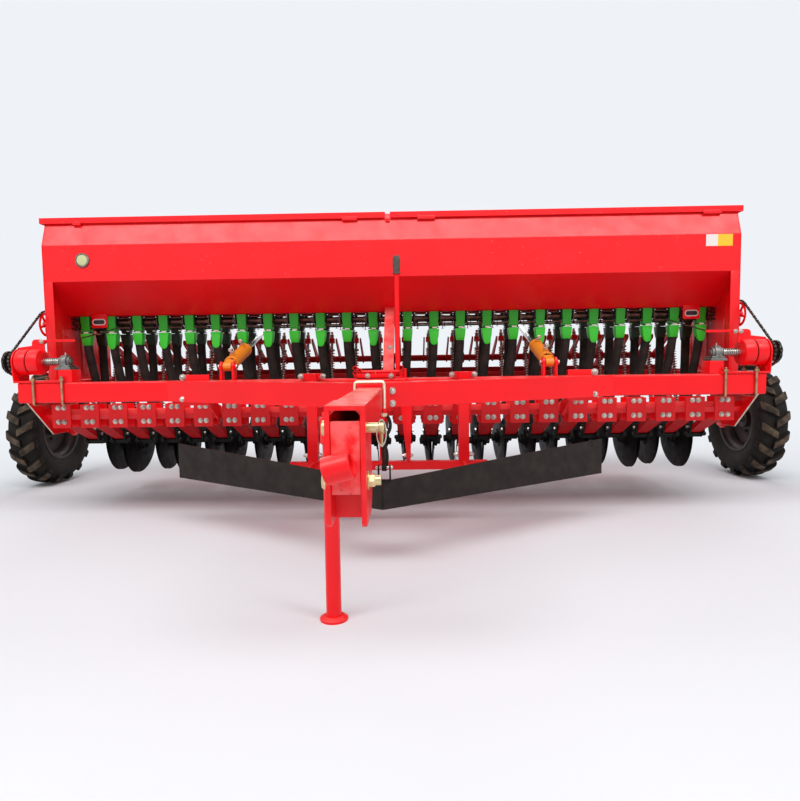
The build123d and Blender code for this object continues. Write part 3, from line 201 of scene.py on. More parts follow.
def red_enamel(name, colour, ripple, dust_and_sheen, gloss=0.32, specks=0.0, worn=0.0, matt=0.0):
    """Sprayed machine enamel on steel: even colour, soft orange peel, and a pale pink film where it faces up, which
    stands partly for dust and partly for a painted highlight of the sky.
    """
    material, tree, shader, place = begin(name, 0.34, Specular_IOR_Level=gloss, Coat_Weight=0.05, Coat_Roughness=0.2)
    deep = [c * 0.86 for c in colour]
    tone = blend_colours(tree, grain(tree, place, 420, 0.3, 0.75), colour, deep)
    top_dust_and_sheen = times(tree, up_facing(tree, 0.15, 0.95), dust_and_sheen)
    patchy_dust_and_sheen = times(tree, top_dust_and_sheen, grain(tree, place, 60, 0.25, 0.7, 5.0))
    # Pale pink on faces that point up: partly dust, partly a painted highlight of the sky
    tone = blend_colours(tree, patchy_dust_and_sheen, tone, linear("#E89088"))
    if specks:
        spots = times(tree, grain(tree, place, 14, 0.7, 0.76, 2.0), specks)
        tone = blend_colours(tree, spots, tone, linear("#D8705C"))
    if worn:
        # Pale rubbed patches: partly wear, partly a painted highlight
        rubbed = times(tree, grain(tree, place, 45, 0.42, 0.62, 7.0), worn)
        tone = blend_colours(tree, rubbed, tone, linear("#F27C78"))
        scraped = times(tree, grain(tree, place, 22, 0.66, 0.7, 6.0), worn)
        tone = blend_colours(tree, scraped, tone, linear("#7A2A24"))
    tree.links.new(tone, shader.inputs["Base Color"])
    vary_roughness(tree, shader, grain(tree, place, 90, 0.3, 0.7), 0.28 + matt, 0.42 + matt)
    waves = add(
        tree,
        "ShaderNodeMath",
        {0: grain(tree, place, 380, 0.0, 1.0, 1.0), 1: ripple, 2: grain(tree, place, 7, 0.0, 1.0, 2.0)},
        operation="MULTIPLY_ADD",
    )
    relief(tree, shader, waves.outputs[0], 0.12)
    return material


def button_tread(name, colour):
    """Enamelled tread plate: raised buttons 32 mm apart, paint rubbed thin on their tops."""
    material, tree, shader, place = begin(name, 0.42, Specular_IOR_Level=0.3)
    cells = add(
        tree, "ShaderNodeTexVoronoi", {"Vector": place, "Scale": 1000.0 / 32, "Randomness": 0.0}, distance="CHEBYCHEV"
    )
    button = add(
        tree,
        "ShaderNodeMapRange",
        {"Value": cells.outputs["Distance"], "From Min": 0.2, "From Max": 0.32, "To Min": 1.0, "To Max": 0.0},
    )
    rubbed = times(tree, button.outputs[0], grain(tree, place, 90, 0.4, 0.6, 5.0))
    tone = blend_colours(tree, times(tree, rubbed, 0.6), colour, linear("#B08078"))
    tree.links.new(tone, shader.inputs["Base Color"])
    relief(tree, shader, button.outputs[0], 1.5)
    return material


def satin_black(name, code, dust_code, roughness):
    """Black machine paint over castings and plate, with soil dust in patches."""
    material, tree, shader, place = begin(name, roughness, Specular_IOR_Level=0.22)
    patches = times(tree, grain(tree, place, 70, 0.45, 0.8, 6.0), 0.55)
    tone = blend_colours(tree, patches, linear(code), linear(dust_code))
    tree.links.new(tone, shader.inputs["Base Color"])
    vary_roughness(tree, shader, grain(tree, place, 40, 0.3, 0.7), roughness - 0.08, roughness + 0.12)
    relief(tree, shader, grain(tree, place, 9, 0.0, 1.0, 3.0), 0.15)
    return material


def plated(name, code, stain_code, roughness):
    """Plated or bare steel: a metal with fine scratches and dull spots."""
    material, tree, shader, place = begin(name, roughness, 1.0)
    tone = blend_colours(tree, grain(tree, place, 25, 0.4, 0.8, 4.0), linear(code), linear(stain_code))
    tree.links.new(tone, shader.inputs["Base Color"])
    vary_roughness(tree, shader, grain(tree, place, 12, 0.3, 0.7), roughness - 0.08, roughness + 0.1)
    relief(tree, shader, grain(tree, place, 4, 0.0, 1.0, 2.0), 0.05)
    return material


def moulded(name, colour, roughness, bump):
    """Moulded polymer: even colour, a little haze, faint flow marks."""
    material, tree, shader, place = begin(name, roughness, Specular_IOR_Level=0.45)
    pale = [c * 0.75 + 0.05 for c in colour]
    tone = blend_colours(tree, times(tree, grain(tree, place, 45, 0.4, 0.8), 0.5), colour, pale)
    tree.links.new(tone, shader.inputs["Base Color"])
    vary_roughness(tree, shader, grain(tree, place, 30, 0.3, 0.7), roughness - 0.05, roughness + 0.12)
    relief(tree, shader, grain(tree, place, 6, 0.0, 1.0, 2.0), bump)
    return material


def dusty_rubber(name, code, dust_code, amount, size, rib=0.0):
    """Rubber with dried soil: matt, darker where clean, ribbed across where a hose is moulded so."""
    material, tree, shader, place = begin(name, 0.8, Specular_IOR_Level=0.25)
    patches = times(tree, grain(tree, place, size, 0.35, 0.65, 6.0), amount)
    tone = blend_colours(tree, patches, linear(code), linear(dust_code))
    tree.links.new(tone, shader.inputs["Base Color"])
    if rib:
        bands = add(tree, "ShaderNodeTexWave", {"Vector": place, "Scale": 100 * pi / rib}, bands_direction="Z")
        relief(tree, shader, bands.outputs["Fac"], 0.6)
    else:
        relief(tree, shader, grain(tree, place, 8, 0.0, 1.0, 4.0), 0.4)
    return material


def make_finishes():
    """Every finish of the drill, by a short key."""
    colours = bpy.context.scene.drill_colours
    return {
        # Alkyd enamel, sprayed on folded sheet: the panels ripple a little and reflect the sky unevenly
        "sheet": red_enamel("red_enamel_on_sheet", colours.red, 9.0, 0.2, 0.45, 0.5),
        # The same enamel on stiff tube and plate: flatter
        "red": red_enamel("red_enamel_on_tube", colours.red, 2.0, 0.25),
        # The same enamel on the drawbar and strut, pale on top with road dust and a painted highlight of the sky
        "dusty_sheen_red": red_enamel("red_enamel_dust_and_painted_sheen", colours.red, 2.0, 0.95, 0.32, 0.3, 0.06),
        # The same enamel on the towing plate, rubbed pale by the tractor's hitch; the pale patches also stand for a
        # painted highlight on the plate
        "rubbed_sheen_red": red_enamel("red_enamel_rubbed_and_painted_sheen", colours.red, 2.0, 0.6, 0.4, 0.0, 0.5),
        # The same enamel, painted darker on the parts low on the machine that sit in shade: painted shade, the real
        # paint is the same red
        "shade_red": red_enamel("red_enamel_painted_shade", colours.dark_red, 2.0, 0.04, 0.16, matt=0.3),
        # Enamelled tread plate of the footboard
        "tread_red": button_tread("red_enamel_on_tread_plate", colours.red),
        # Black paint on castings and discs
        "black": satin_black("black_paint_on_castings", "#090706", "#1E1916", 0.55),
        # Rolled plate with worn black paint, brown with dust
        "board": satin_black("worn_black_paint_on_plate", "#231C19", "#3B322A", 0.62),
        # Dark grey wheel paint
        "rim": satin_black("grey_wheel_paint", "#3A3330", "#54413B", 0.5),
        # Orange cylinder paint
        "orange": moulded("orange_enamel", colours.orange, 0.35, 0.1),
        # Clear zinc plating on bolts: pale, slightly warm
        "zinc": plated("clear_zinc_plate", "#D2CAC0", "#938A7E", 0.3),
        # Yellow chromate over zinc on pins
        "yellow_zinc": plated("yellow_chromate_plate", "#E2D4A4", "#A8905E", 0.34),
        # Fresh pale chromate on the drawbar's U-bolts: creamy
        "pale_zinc": plated("pale_chromate_plate", "#F6F0D8", "#DCCFA6", 0.42),
        # Same plating, dulled brown, on the beam's U-bolts
        "brown_zinc": plated("dull_chromate_plate", "#C09C7C", "#7A604C", 0.42),
        # Bare edge left by the shears: dull bright steel, made pale so that it also stands for a painted highlight
        # along the edge
        "bare": plated("sheared_edge_painted_highlight", "#D8C8B8", "#A88C7A", 0.4),
        # Ground steel shafts
        "steel": plated("ground_steel", "#C4C0BA", "#8A8278", 0.3),
        # Hard chrome on the cylinder rods
        "chrome": plated("hard_chrome", "#D4D2CE", "#A8A49E", 0.22),
        # Oiled chain
        "chain": plated("oiled_chain_steel", "#6E6862", "#2E2A27", 0.38),
        # Bare grey iron of the bearing housings
        "cast": plated("grey_cast_iron", "#8E8C88", "#55534F", 0.5),
        # Brown oil film on the metering shafts
        "oiled": plated("oil_browned_steel", "#6A4E44", "#3A2A26", 0.5),
        # Polypropylene cups
        "green": moulded("green_polypropylene", colours.green, 0.38, 0.06),
        "dark_green": moulded("dark_green_polypropylene", colours.dark_green, 0.4, 0.06),
        # The rear row's cups are the same green plastic, painted a nearly black green for the shade they sit in:
        # painted shade
        "shade_green": moulded("green_polypropylene_painted_shade", linear("#14300F"), 0.45, 0.06),
        # Nylon clips
        "nylon": moulded("white_nylon", linear("#E6E2D8"), 0.45, 0.05),
        # EPDM seed hose
        "hose": dusty_rubber("epdm_hose", "#211B19", "#3E3530", 0.6, 60, 7.0),
        # Hand grip of black PVC, greyed by dust
        "grip": dusty_rubber("grey_pvc_grip", "#4E4844", "#6E665E", 0.6, 30),
        # Tyre rubber and the dried soil on its treads
        "tyre": dusty_rubber("tyre_rubber", "#14110F", "#262019", 0.7, 50),
        "lug": dusty_rubber("tyre_lug_soiled", "#5E4F40", "#211B17", 0.9, 45),
        # Plates that stay blank
        "plate": moulded("blank_plate_lacquer", linear("#E6DAD6"), 0.4, 0.03),
        "plate_orange": moulded("blank_plate_orange", linear("#FFC020"), 0.4, 0.03),
        "plate_dark": moulded("dark_moulded_window", linear("#241E1C"), 0.4, 0.03),
        # Reflector glass over a yellow-green base
        "reflector": moulded("reflector_polycarbonate", linear("#C4C894"), 0.2, 0.3),
    }


FINISH = {}


# Shapes, all in millimetres until a piece is finished


def merge(target, shape, material=0, matrix=None):
    """Add one shape's mesh to another, with its material and place."""
    for face in shape.faces:
        face.material_index = material
    mesh = bpy.data.meshes.new("shape")
    shape.to_mesh(mesh)
    shape.free()
    if matrix is not None:
        mesh.transform(matrix)
    target.from_mesh(mesh)
    bpy.data.meshes.remove(mesh)


def keep(shape):
    """Keep a shape as a mesh to stamp many times."""
    mesh = bpy.data.meshes.new("stamp")
    shape.to_mesh(mesh)
    shape.free()
    return mesh


def stamp(target, mesh, matrices):
    """Add copies of a kept mesh."""
    for matrix in matrices:
        copy = mesh.copy()
        copy.transform(matrix)
        target.from_mesh(copy)
        bpy.data.meshes.remove(copy)


def at(x, y, z, axis=(0, 0, 1), turn=0.0):
    """A place with its local Z along an axis."""
    lean = Vector((0, 0, 1)).rotation_difference(Vector(axis)).to_matrix().to_4x4()
    return Matrix.Translation((x, y, z)) @ lean @ Matrix.Rotation(radians(turn), 4, "Z")


def brick(target, low, high, soften=1.5, material=0, matrix=None):
    """A block with softened edges."""
    shape = bmesh.new()
    size = [h - l for l, h in zip(low, high)]
    middle = [(h + l) / 2 for l, h in zip(low, high)]
    bmesh.ops.create_cube(shape, size=1.0, matrix=Matrix.Translation(middle) @ Matrix.Diagonal((*size, 1)))
    if soften:
        soften_edges(shape, shape.edges[:], soften)
    merge(target, shape, material, matrix)


def side_brick(target, side, xs, ys, zs, soften=1.5, material=0):
    """A block whose reach along X is given for the right side."""
    low, high = sorted(side * x for x in xs)
    brick(target, (low, ys[0], zs[0]), (high, ys[1], zs[1]), soften, material)


def soften_edges(shape, edges, radius, segments=2):
    """Round some edges."""
    bmesh.ops.bevel(
        shape,
        geom=edges,
        offset=radius,
        offset_type="OFFSET",
        segments=segments,
        profile=0.5,
        affect="EDGES",
        material=-1,
    )


def lathe(target, profile, matrix, steps=32, material=0):
    """Spin a profile of (radius, height) points about the local Z axis."""
    shape = bmesh.new()
    corners = [shape.verts.new((radius, 0, height)) for radius, height in profile]
    edges = [shape.edges.new(pair) for pair in zip(corners, corners[1:])]
    bmesh.ops.spin(
        shape,
        geom=corners + edges,
        cent=(0, 0, 0),
        axis=(0, 0, 1),
        dvec=(0, 0, 0),
        angle=2 * pi,
        steps=steps,
        use_merge=True,
        use_duplicate=False,
    )
    bmesh.ops.remove_doubles(shape, verts=shape.verts[:], dist=0.01)
    bmesh.ops.recalc_face_normals(shape, faces=shape.faces[:])
    merge(target, shape, material, matrix)


def rod(target, start, end, radius, steps=16, material=0, soften=1.0):
    """A round bar between two points with chamfered ends."""
    start, end = Vector(start), Vector(end)
    length = (end - start).length
    profile = [(0, 0), (radius - soften, 0), (radius, soften)]
    profile += [(r, length - h) for r, h in profile[::-1]]
    lathe(target, profile, at(*start, axis=(end - start).normalized()), steps, material)


def loft(target, sections, material=0, matrix=None, soften=0.0):
    """Bridge closed outlines one after another and close both ends."""
    shape = bmesh.new()
    loops = []
    for section in sections:
        corners = [shape.verts.new(place) for place in section]
        loops.append([shape.edges.new(pair) for pair in zip(corners, corners[1:] + corners[:1])])
    for low, high in zip(loops, loops[1:]):
        bmesh.ops.bridge_loops(shape, edges=low + high)
    for loop in (loops[0], loops[-1]):
        bmesh.ops.contextual_create(shape, geom=loop)
    bmesh.ops.recalc_face_normals(shape, faces=shape.faces[:])
    if soften:
        soften_corners(shape, soften)
    merge(target, shape, material, matrix)


def soften_corners(shape, radius, segments=2):
    """Round every edge that turns more than a little."""
    soften_edges(shape, [e for e in shape.edges if e.calc_face_angle(0.0) > radians(25)], radius, segments)


def plate_from(target, outline, thickness, material=0, matrix=None, soften=1.0):
    """A flat plate: an outline in local X and Y, grown both ways along local Z."""
    shape = bmesh.new()
    face = shape.faces.new([shape.verts.new((x, y, -thickness / 2)) for x, y in outline])
    grown = bmesh.ops.extrude_face_region(shape, geom=[face])["geom"]
    bmesh.ops.translate(shape, vec=(0, 0, thickness), verts=[g for g in grown if isinstance(g, bmesh.types.BMVert)])
    bmesh.ops.recalc_face_normals(shape, faces=shape.faces[:])
    if soften:
        soften_corners(shape, soften)
    merge(target, shape, material, matrix)


def side_plate(target, outline, x, thickness, material=0, soften=1.0):
    """A flat plate across X whose outline is given as (y, z)."""
    across = Matrix(((0, 0, 1, 0), (1, 0, 0, 0), (0, 1, 0, 0), (0, 0, 0, 1)))
    plate_from(target, outline, thickness, material, Matrix.Translation((x, 0, 0)) @ across, soften)


def front_plate(target, outline, y, thickness, material=0, soften=1.0):
    """A flat plate across Y whose outline is given as (x, z)."""
    plate_from(target, outline, thickness, material, at(0, y, 0) @ Matrix.Rotation(radians(90), 4, "X"), soften)


def arc(middle, radius, first, sweep, steps):
    """Points round a middle, from a first angle on through a sweep, in degrees."""
    angles = [radians(first + sweep * i / steps) for i in range(steps + 1)]
    return [(middle[0] + radius * cos(a), middle[1] + radius * sin(a)) for a in angles]


def tube(target, points, radius, material=0, rounded=True, closed=False, sides=2):
    """A round bar along a path, from a curve with a round bevel."""
    curve = bpy.data.curves.new("bar", "CURVE")
    curve.dimensions = "3D"
    curve.bevel_depth = radius
    curve.bevel_resolution = sides
    curve.use_fill_caps = True
    spline = curve.splines.new("NURBS" if rounded else "POLY")
    spline.points.add(len(points) - 1)
    for knot, place in zip(spline.points, points):
        knot.co = (*place, 1.0)
    spline.use_cyclic_u = closed
    if rounded:
        spline.order_u = 3
        spline.use_endpoint_u = not closed
        spline.resolution_u = 5
    holder = bpy.data.objects.new("bar", curve)
    mesh = bpy.data.meshes.new_from_object(holder)
    bpy.data.objects.remove(holder)
    bpy.data.curves.remove(curve)
    for face in mesh.polygons:
        face.material_index = material
    target.from_mesh(mesh)
    bpy.data.meshes.remove(mesh)


def eased(corners, reach):
    """Control points that keep the runs straight and turn within a reach of each corner."""
    corners = [Vector(corner) for corner in corners]
    path = [corners[0]]
    for before, corner, after in zip(corners, corners[1:], corners[2:]):
        inward, onward = (before - corner).normalized(), (after - corner).normalized()
        path += [corner + inward * reach, corner, corner + onward * reach]
    return path + [corners[-1]]


def hexagon(target, matrix, across, height, material=0):
    """A bolt head or nut with its corners turned off."""
    shape = bmesh.new()
    bmesh.ops.create_cone(
        shape,
        cap_ends=True,
        segments=6,
        radius1=across / sqrt(3),
        radius2=across / sqrt(3),
        depth=height,
        matrix=Matrix.Translation((0, 0, height / 2)),
    )
    top = [e for e in shape.edges if all(v.co.z > height - 0.01 for v in e.verts)]
    soften_edges(shape, top, across * 0.07, 1)
    merge(target, shape, material, matrix)


def bolt(across=17.0, head=7.0, washer=14.0, stub=0.0, thread=5.0):
    """A bolt head or nut on its washer, with the thread's end where it shows."""
    shape = bmesh.new()
    lathe(shape, [(0, 0), (washer, 0), (washer, 2.0), (washer - 0.6, 2.6), (0, 2.6)], Matrix.Identity(4), 12)
    hexagon(shape, Matrix.Translation((0, 0, 2.4)), across, head)
    crown = 2.4 + head
    if stub:
        top = [(thread, crown - 0.2), (thread, crown + stub - 1), (thread - 1, crown + stub), (0, crown + stub)]
    else:
        top = [(across * 0.38, crown - 0.2), (across * 0.27, crown + 1.6), (0, crown + 2.4)]
    lathe(shape, top, Matrix.Identity(4), 8)
    return keep(shape)


def coil(target, start, end, radius, wire_radius, turns, material=0):
    """A helical spring, spun and raised from the section of its wire."""
    start, end = Vector(start), Vector(end)
    shape = bmesh.new()
    steps = int(turns * 11)
    section = bmesh.ops.create_circle(
        shape,
        cap_ends=False,
        radius=wire_radius,
        segments=5,
        matrix=Matrix.Translation((radius, 0, wire_radius)) @ Matrix.Rotation(radians(90), 4, "X"),
    )["verts"]
    bmesh.ops.spin(
        shape,
        geom=section + shape.edges[:],
        cent=(0, 0, 0),
        axis=(0, 0, 1),
        dvec=(0, 0, ((end - start).length - 2 * wire_radius) / steps),
        angle=2 * pi * turns,
        steps=steps,
        use_duplicate=False,
    )
    bmesh.ops.holes_fill(shape, edges=[e for e in shape.edges if e.is_boundary], sides=5)
    bmesh.ops.recalc_face_normals(shape, faces=shape.faces[:])
    merge(target, shape, material, at(*start, axis=(end - start).normalized()))


def new_object(name, shape, finishes, crease):
    """Turn a shape in metres into an object, smooth but for edges sharper than the crease in degrees."""
    for face in shape.faces:
        face.smooth = True
    mesh = bpy.data.meshes.new(name)
    shape.to_mesh(mesh)
    shape.free()
    mesh.set_sharp_from_angle(angle=radians(crease))
    for key in finishes:
        mesh.materials.append(FINISH[key])
    piece = bpy.data.objects.new(name, mesh)
    bpy.context.scene.collection.objects.link(piece)
    return piece


def finish_piece(name, shape, finishes, body, replaces=(), sharp=32.0):
    """Turn a shape in millimetres into a piece of the drill."""
    bmesh.ops.transform(shape, matrix=Matrix.Scale(0.001, 4), verts=shape.verts[:])
    piece = new_object(name, shape, finishes, sharp)
    if body:
        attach(piece, body)
    if replaces:
        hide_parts(*replaces)
    return piece


def body_of_node(node):
    """The body that carries a solid."""
    for body, nodes in frame["record"]["behaviour"]["bodies"].items():
        if node in nodes:
            return body
    raise ValueError(node)


def dressed_copy(node, finish, rim=None, crease=28.0):
    """A copy of a solid with welded faces and rounded edges; a rim finish goes on faces not square to X."""
    source = frame["nodes"][node]
    shape = bmesh.new()
    shape.from_mesh(source.data)
    bmesh.ops.remove_doubles(shape, verts=shape.verts[:], dist=0.00002)
    bmesh.ops.dissolve_limit(
        shape, angle_limit=radians(1.0), use_dissolve_boundaries=False, verts=shape.verts[:], edges=shape.edges[:]
    )
    for face in shape.faces:
        face.material_index = 1 if rim and abs(face.normal.x) < 0.5 else 0
    piece = new_object(f"{node}_dressed", shape, filter(None, (finish, rim)), crease)
    edge = piece.modifiers.new("edge_rounding", "BEVEL")
    edge.width = bpy.context.scene.drill_sizes.edge_radius
    edge.segments = 2
    edge.limit_method = "ANGLE"
    edge.angle_limit = radians(crease)
    edge.harden_normals = True
    edge.use_clamp_overlap = True
    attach(piece, body_of_node(node))
    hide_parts(node)
    return piece


# Pieces


class DRILL_OT_finishes(bpy.types.Operator):
    """Give every solid its finish and round the edges of the frame and the sheet metal"""

    bl_idname = "drill.finishes"
    bl_label = "Finish the solids"

    # Finish of each solid; a name that ends in _ stands for its left and right ones
    plain = {
        "red": ("opener_bar", "jack_leg"),
        "shade_red": ("shaft_carrier", "hopper_floor", "hopper_divider"),
        "black": ("opener_bodies",),
        "oiled": ("metering_shafts",),
        "steel": ("wheel_axle_",),
        "chrome": ("cylinder_rod_",),
    }
    rounded = {
        "red": (
            *("front_beam", "side_rail_", "rear_axle_beam", "wheel_leg_", "opener_clamps"),
            *("drawbar_brace_", "jack_sleeve", "levelling_frame"),
        ),
        "shade_red": ("opener_arms", "rock_shaft", "shaft_bearings"),
        "dusty_sheen_red": ("drawbar_tube", "hitch_head", "centre_strut"),
        "sheet": ("hopper_front_wall", "hopper_rear_wall", "hopper_end_", "lid_"),
        "board": ("levelling_board",),
        "orange": ("cylinder_barrel_",),
        "tread_red": ("footboard",),
    }

    def pairs(self, table):
        """Each solid of a table with its finish."""
        for finish, names in table.items():
            for name in names:
                for node in [name + side for side in SIDES] if name.endswith("_") else [name]:
                    yield node, finish

    def execute(self, context):
        FINISH.update(make_finishes())
        for node, finish in self.pairs(self.plain):
            solid = frame["nodes"][node]
            solid.data.materials.clear()
            solid.data.materials.append(FINISH[finish])
        for node, finish in self.pairs(self.rounded):
            dressed_copy(node, finish, crease=12.0 if finish == "sheet" else 28.0)
        for name in SIDES:
            # The end plates' edges take the pale steel that also stands for a painted highlight
            dressed_copy(f"end_plate_{name}", "red", "bare")
        return {"FINISHED"}


class DRILL_OT_tyres(bpy.types.Operator):
    """Build the tyres with their chevron tread bars"""

    bl_idname = "drill.tyres"
    bl_label = "Tyres"

    carcass = [
        (203.4, -61.3),
        (216, -61.3),
        (226, -68),
        (240, -80),
        (262, -90),
        (285, -94),
        (305, -94),
        (322, -90),
        (336, -82),
        (345, -70),
        (350, -48),
        (353, -20),
    ]

    def lug(self, width):
        """One tread bar on the +X half of a tyre whose axle lies on X, middle at angle 0."""
        foot = 11.0
        stations = [
            (-9.0, -4.8, 376.6, 349.0, 1.0),
            (14.0, -2.9, 376.8, 349.0, 1.04),
            (40.0, -0.4, 375.5, 348.0, 1.1),
            (66.0, 2.2, 370.5, 343.0, 1.2),
            (84.0, 4.0, 360.0, 331.0, 1.25),
            (93.0, 4.9, 343.0, 318.0, 1.2),
        ]
        sections = []
        for x, degrees_back, top, bottom, widen in stations:
            spread_top = width * widen / 2 / TYRE_RADIUS
            spread_low = (width * widen + foot) / 2 / TYRE_RADIUS
            middle = radians(degrees_back)
            corners = [
                (bottom, middle - spread_low),
                (top, middle - spread_top),
                (top, middle + spread_top),
                (bottom, middle + spread_low),
            ]
            sections.append([(x, r * sin(a), r * cos(a)) for r, a in corners])
        shape = bmesh.new()
        loft(shape, sections, soften=6.0)
        for face in shape.faces:
            middle = face.calc_center_median()
            if face.normal.dot(Vector((0, middle.y, middle.z)).normalized()) > 0.6:
                face.material_index = 1
        return keep(shape)

    def execute(self, context):
        sizes = context.scene.drill_sizes
        lug = self.lug(sizes.lug_width * 1000)
        step = 360.0 / sizes.lug_count
        for name, side in SIDES.items():
            shape = bmesh.new()
            profile = self.carcass + [(353, 0)] + [(r, -x) for r, x in self.carcass[::-1]]
            hub = at(side * WHEEL_X, WHEEL_Y, WHEEL_Z, (1, 0, 0))
            lathe(shape, profile + profile[:1], hub, 96)
            for radius, reach in ((246, 84.0), (276, 92.5)):
                for out in (-reach, reach):
                    foot = out - 3 * out / reach
                    lathe(shape, [(radius - 3, foot), (radius, out + 0.8), (radius + 3, foot)], hub, 72)
            turns = []
            mirror = Matrix.Scale(-1, 4, (1, 0, 0))
            for index in range(sizes.lug_count):
                turns.append(Matrix.Rotation(radians(index * step), 4, "X"))
                turns.append(Matrix.Rotation(radians((index + 0.5) * step), 4, "X") @ mirror)
            place = Matrix.Translation((side * WHEEL_X, WHEEL_Y, WHEEL_Z))
            bars = bmesh.new()
            stamp(bars, lug, [place @ turn for turn in turns])
            bmesh.ops.recalc_face_normals(bars, faces=bars.faces[:])
            mesh = keep(bars)
            shape.from_mesh(mesh)
            bpy.data.meshes.remove(mesh)
            finish_piece(
                f"tyre_{name}_tread", shape, ("tyre", "lug"), f"wheel_{name}", (f"tyre_{name}",), 40
            )
        return {"FINISHED"}


class DRILL_OT_rims(bpy.types.Operator):
    """Build the pressed wheel rims with their hubs and wheel bolts"""

    bl_idname = "drill.rims"
    bl_label = "Wheel rims"

    outer = [
        *((197, -66), (214, -66), (216, -64.5), (216, -63), (206, -62.8), (203, -58), (202, -40), (186, -30)),
        *((180, -22), (180, 12), (186, 22), (202, 34), (203, 58), (206, 62.8), (216, 63), (216, 64.5), (214, 66)),
        *((198, 66), (198, 36), (182, 26), (176, 16), (176, -22), (182, -32), (198, -42), (197, -66)),
    ]
    dish = [
        *((177, 26), (160, 22), (130, 30), (104, 32), (86, 26), (70, 22), (56, 22), (56, 42), (44, 44), (44, 22)),
        *((21, 22), (21, -18), (44, -18), (54, -16), (54, 15), (70, 16), (88, 20), (106, 26), (130, 24)),
        *((160, 15), (177, 18), (177, 26)),
    ]

    def execute(self, context):
        nut = bolt(17, 9, 13, 5, 6)
        nut_count, nut_circle = 6, 78
        for name, side in SIDES.items():
            shape = bmesh.new()
            hub = at(side * WHEEL_X, WHEEL_Y, WHEEL_Z, (side, 0, 0))
            lathe(shape, self.outer, hub, 72)
            lathe(shape, self.dish, hub, 72)
            for index in range(nut_count):
                angle = index * 2 * pi / nut_count
                for height, out in ((23, side), (17, -side)):
                    spot = hub @ Vector((nut_circle * cos(angle), nut_circle * sin(angle), height))
                    stamp(shape, nut, [Matrix.Translation(spot) @ at(0, 0, 0, (out, 0, 0))])
            finish_piece(f"rim_{name}_pressed", shape, ("rim",), f"wheel_{name}", (f"wheel_rim_{name}",))
        return {"FINISHED"}


class DRILL_OT_clamp_bolts(bpy.types.Operator):
    """Put four bolts on every opener clamp"""

    bl_idname = "drill.clamp_bolts"
    bl_label = "Opener clamp bolts"

    def execute(self, context):
        head = bolt(19, 8, 13.5)
        nut = bolt(19, 9, 13, 6, 5)
        spread, heights, front_y, rear_y = 15.0, (507.0, 581.5), 195.4, 265.8
        shape = bmesh.new()
        for x in ROW_XS:
            for across in (x - spread, x + spread):
                for z in heights:
                    stamp(shape, head, [at(across, front_y, z, (0, -1, 0), 10 + (x + z) % 50)])
                    stamp(shape, nut, [at(across, rear_y, z, (0, 1, 0), across % 60)])
        finish_piece("clamp_bolts", shape, ("zinc",), "frame")
        return {"FINISHED"}


class DRILL_OT_cups(bpy.types.Operator):
    """Build the green cups: chute, white clip and funnel"""

    bl_idname = "drill.cups"
    bl_label = "Seed cups"

    def taper(self, target, levels, material, soften):
        """A box that narrows from level to level, each given as z, half width, front and back."""
        sections = []
        for z, wide, front, back in levels:
            sections.append([(-wide, -front, z), (wide, -front, z), (wide, back, z), (-wide, back, z)])
        loft(target, sections, material, soften=soften)

    def cup(self, rounded_tip):
        """One cup at x = 0, y = 0; the front faces -Y."""
        shape = bmesh.new()
        chute = ((1079, 26, 27, 27), (1052, 26, 27, 27), (1020, 24, 23, 25), (986, 23, 20, 23))
        self.taper(shape, chute, 0, 3.0)
        brick(shape, (-26, -24.5, 1000), (26, 20, 1006), 1.0, 0)
        brick(shape, (-29, -23, 985.5), (29, -15, 990), 1.0, 3)
        brick(shape, (-10, -26.5, 983.5), (17, -21, 991.5), 1.0, 2)
        tip = 901.5 if rounded_tip else 914.0
        half = 18 if rounded_tip else 21
        funnel = ((982, 29, 27, 27), (976, 29, 27, 27), (942, 26, 24, 24), (tip, half, 19, 19))
        self.taper(shape, funnel, 1, 3.5)
        if rounded_tip:
            tongue = [(-26, 968), (26, 968), (20, 906), (14, 894), (0, 889), (-14, 894), (-20, 906)]
            front_plate(shape, tongue, -25.2, 3.0, 1, 1.0)
        return keep(shape)

    def execute(self, context):
        kinds = (self.cup(False), self.cup(True))
        rows = {
            "front": ("dark_green", "green", "nylon", "black"),
            # The rear row's cups take the green that is painted dark for their shade
            "rear": ("shade_green", "shade_green", "cast", "black"),
        }
        for label, cup_y in CUP_YS.items():
            shape = bmesh.new()
            facing = Matrix.Rotation(0 if label == "front" else pi, 4, "Z")
            for index, x in enumerate(CUP_XS):
                stamp(shape, kinds[index % 2], [Matrix.Translation((x, cup_y, 0)) @ facing])
            finish_piece(f"cups_{label}_moulded", shape, rows[label], "frame", (f"cups_{label}",))
        return {"FINISHED"}


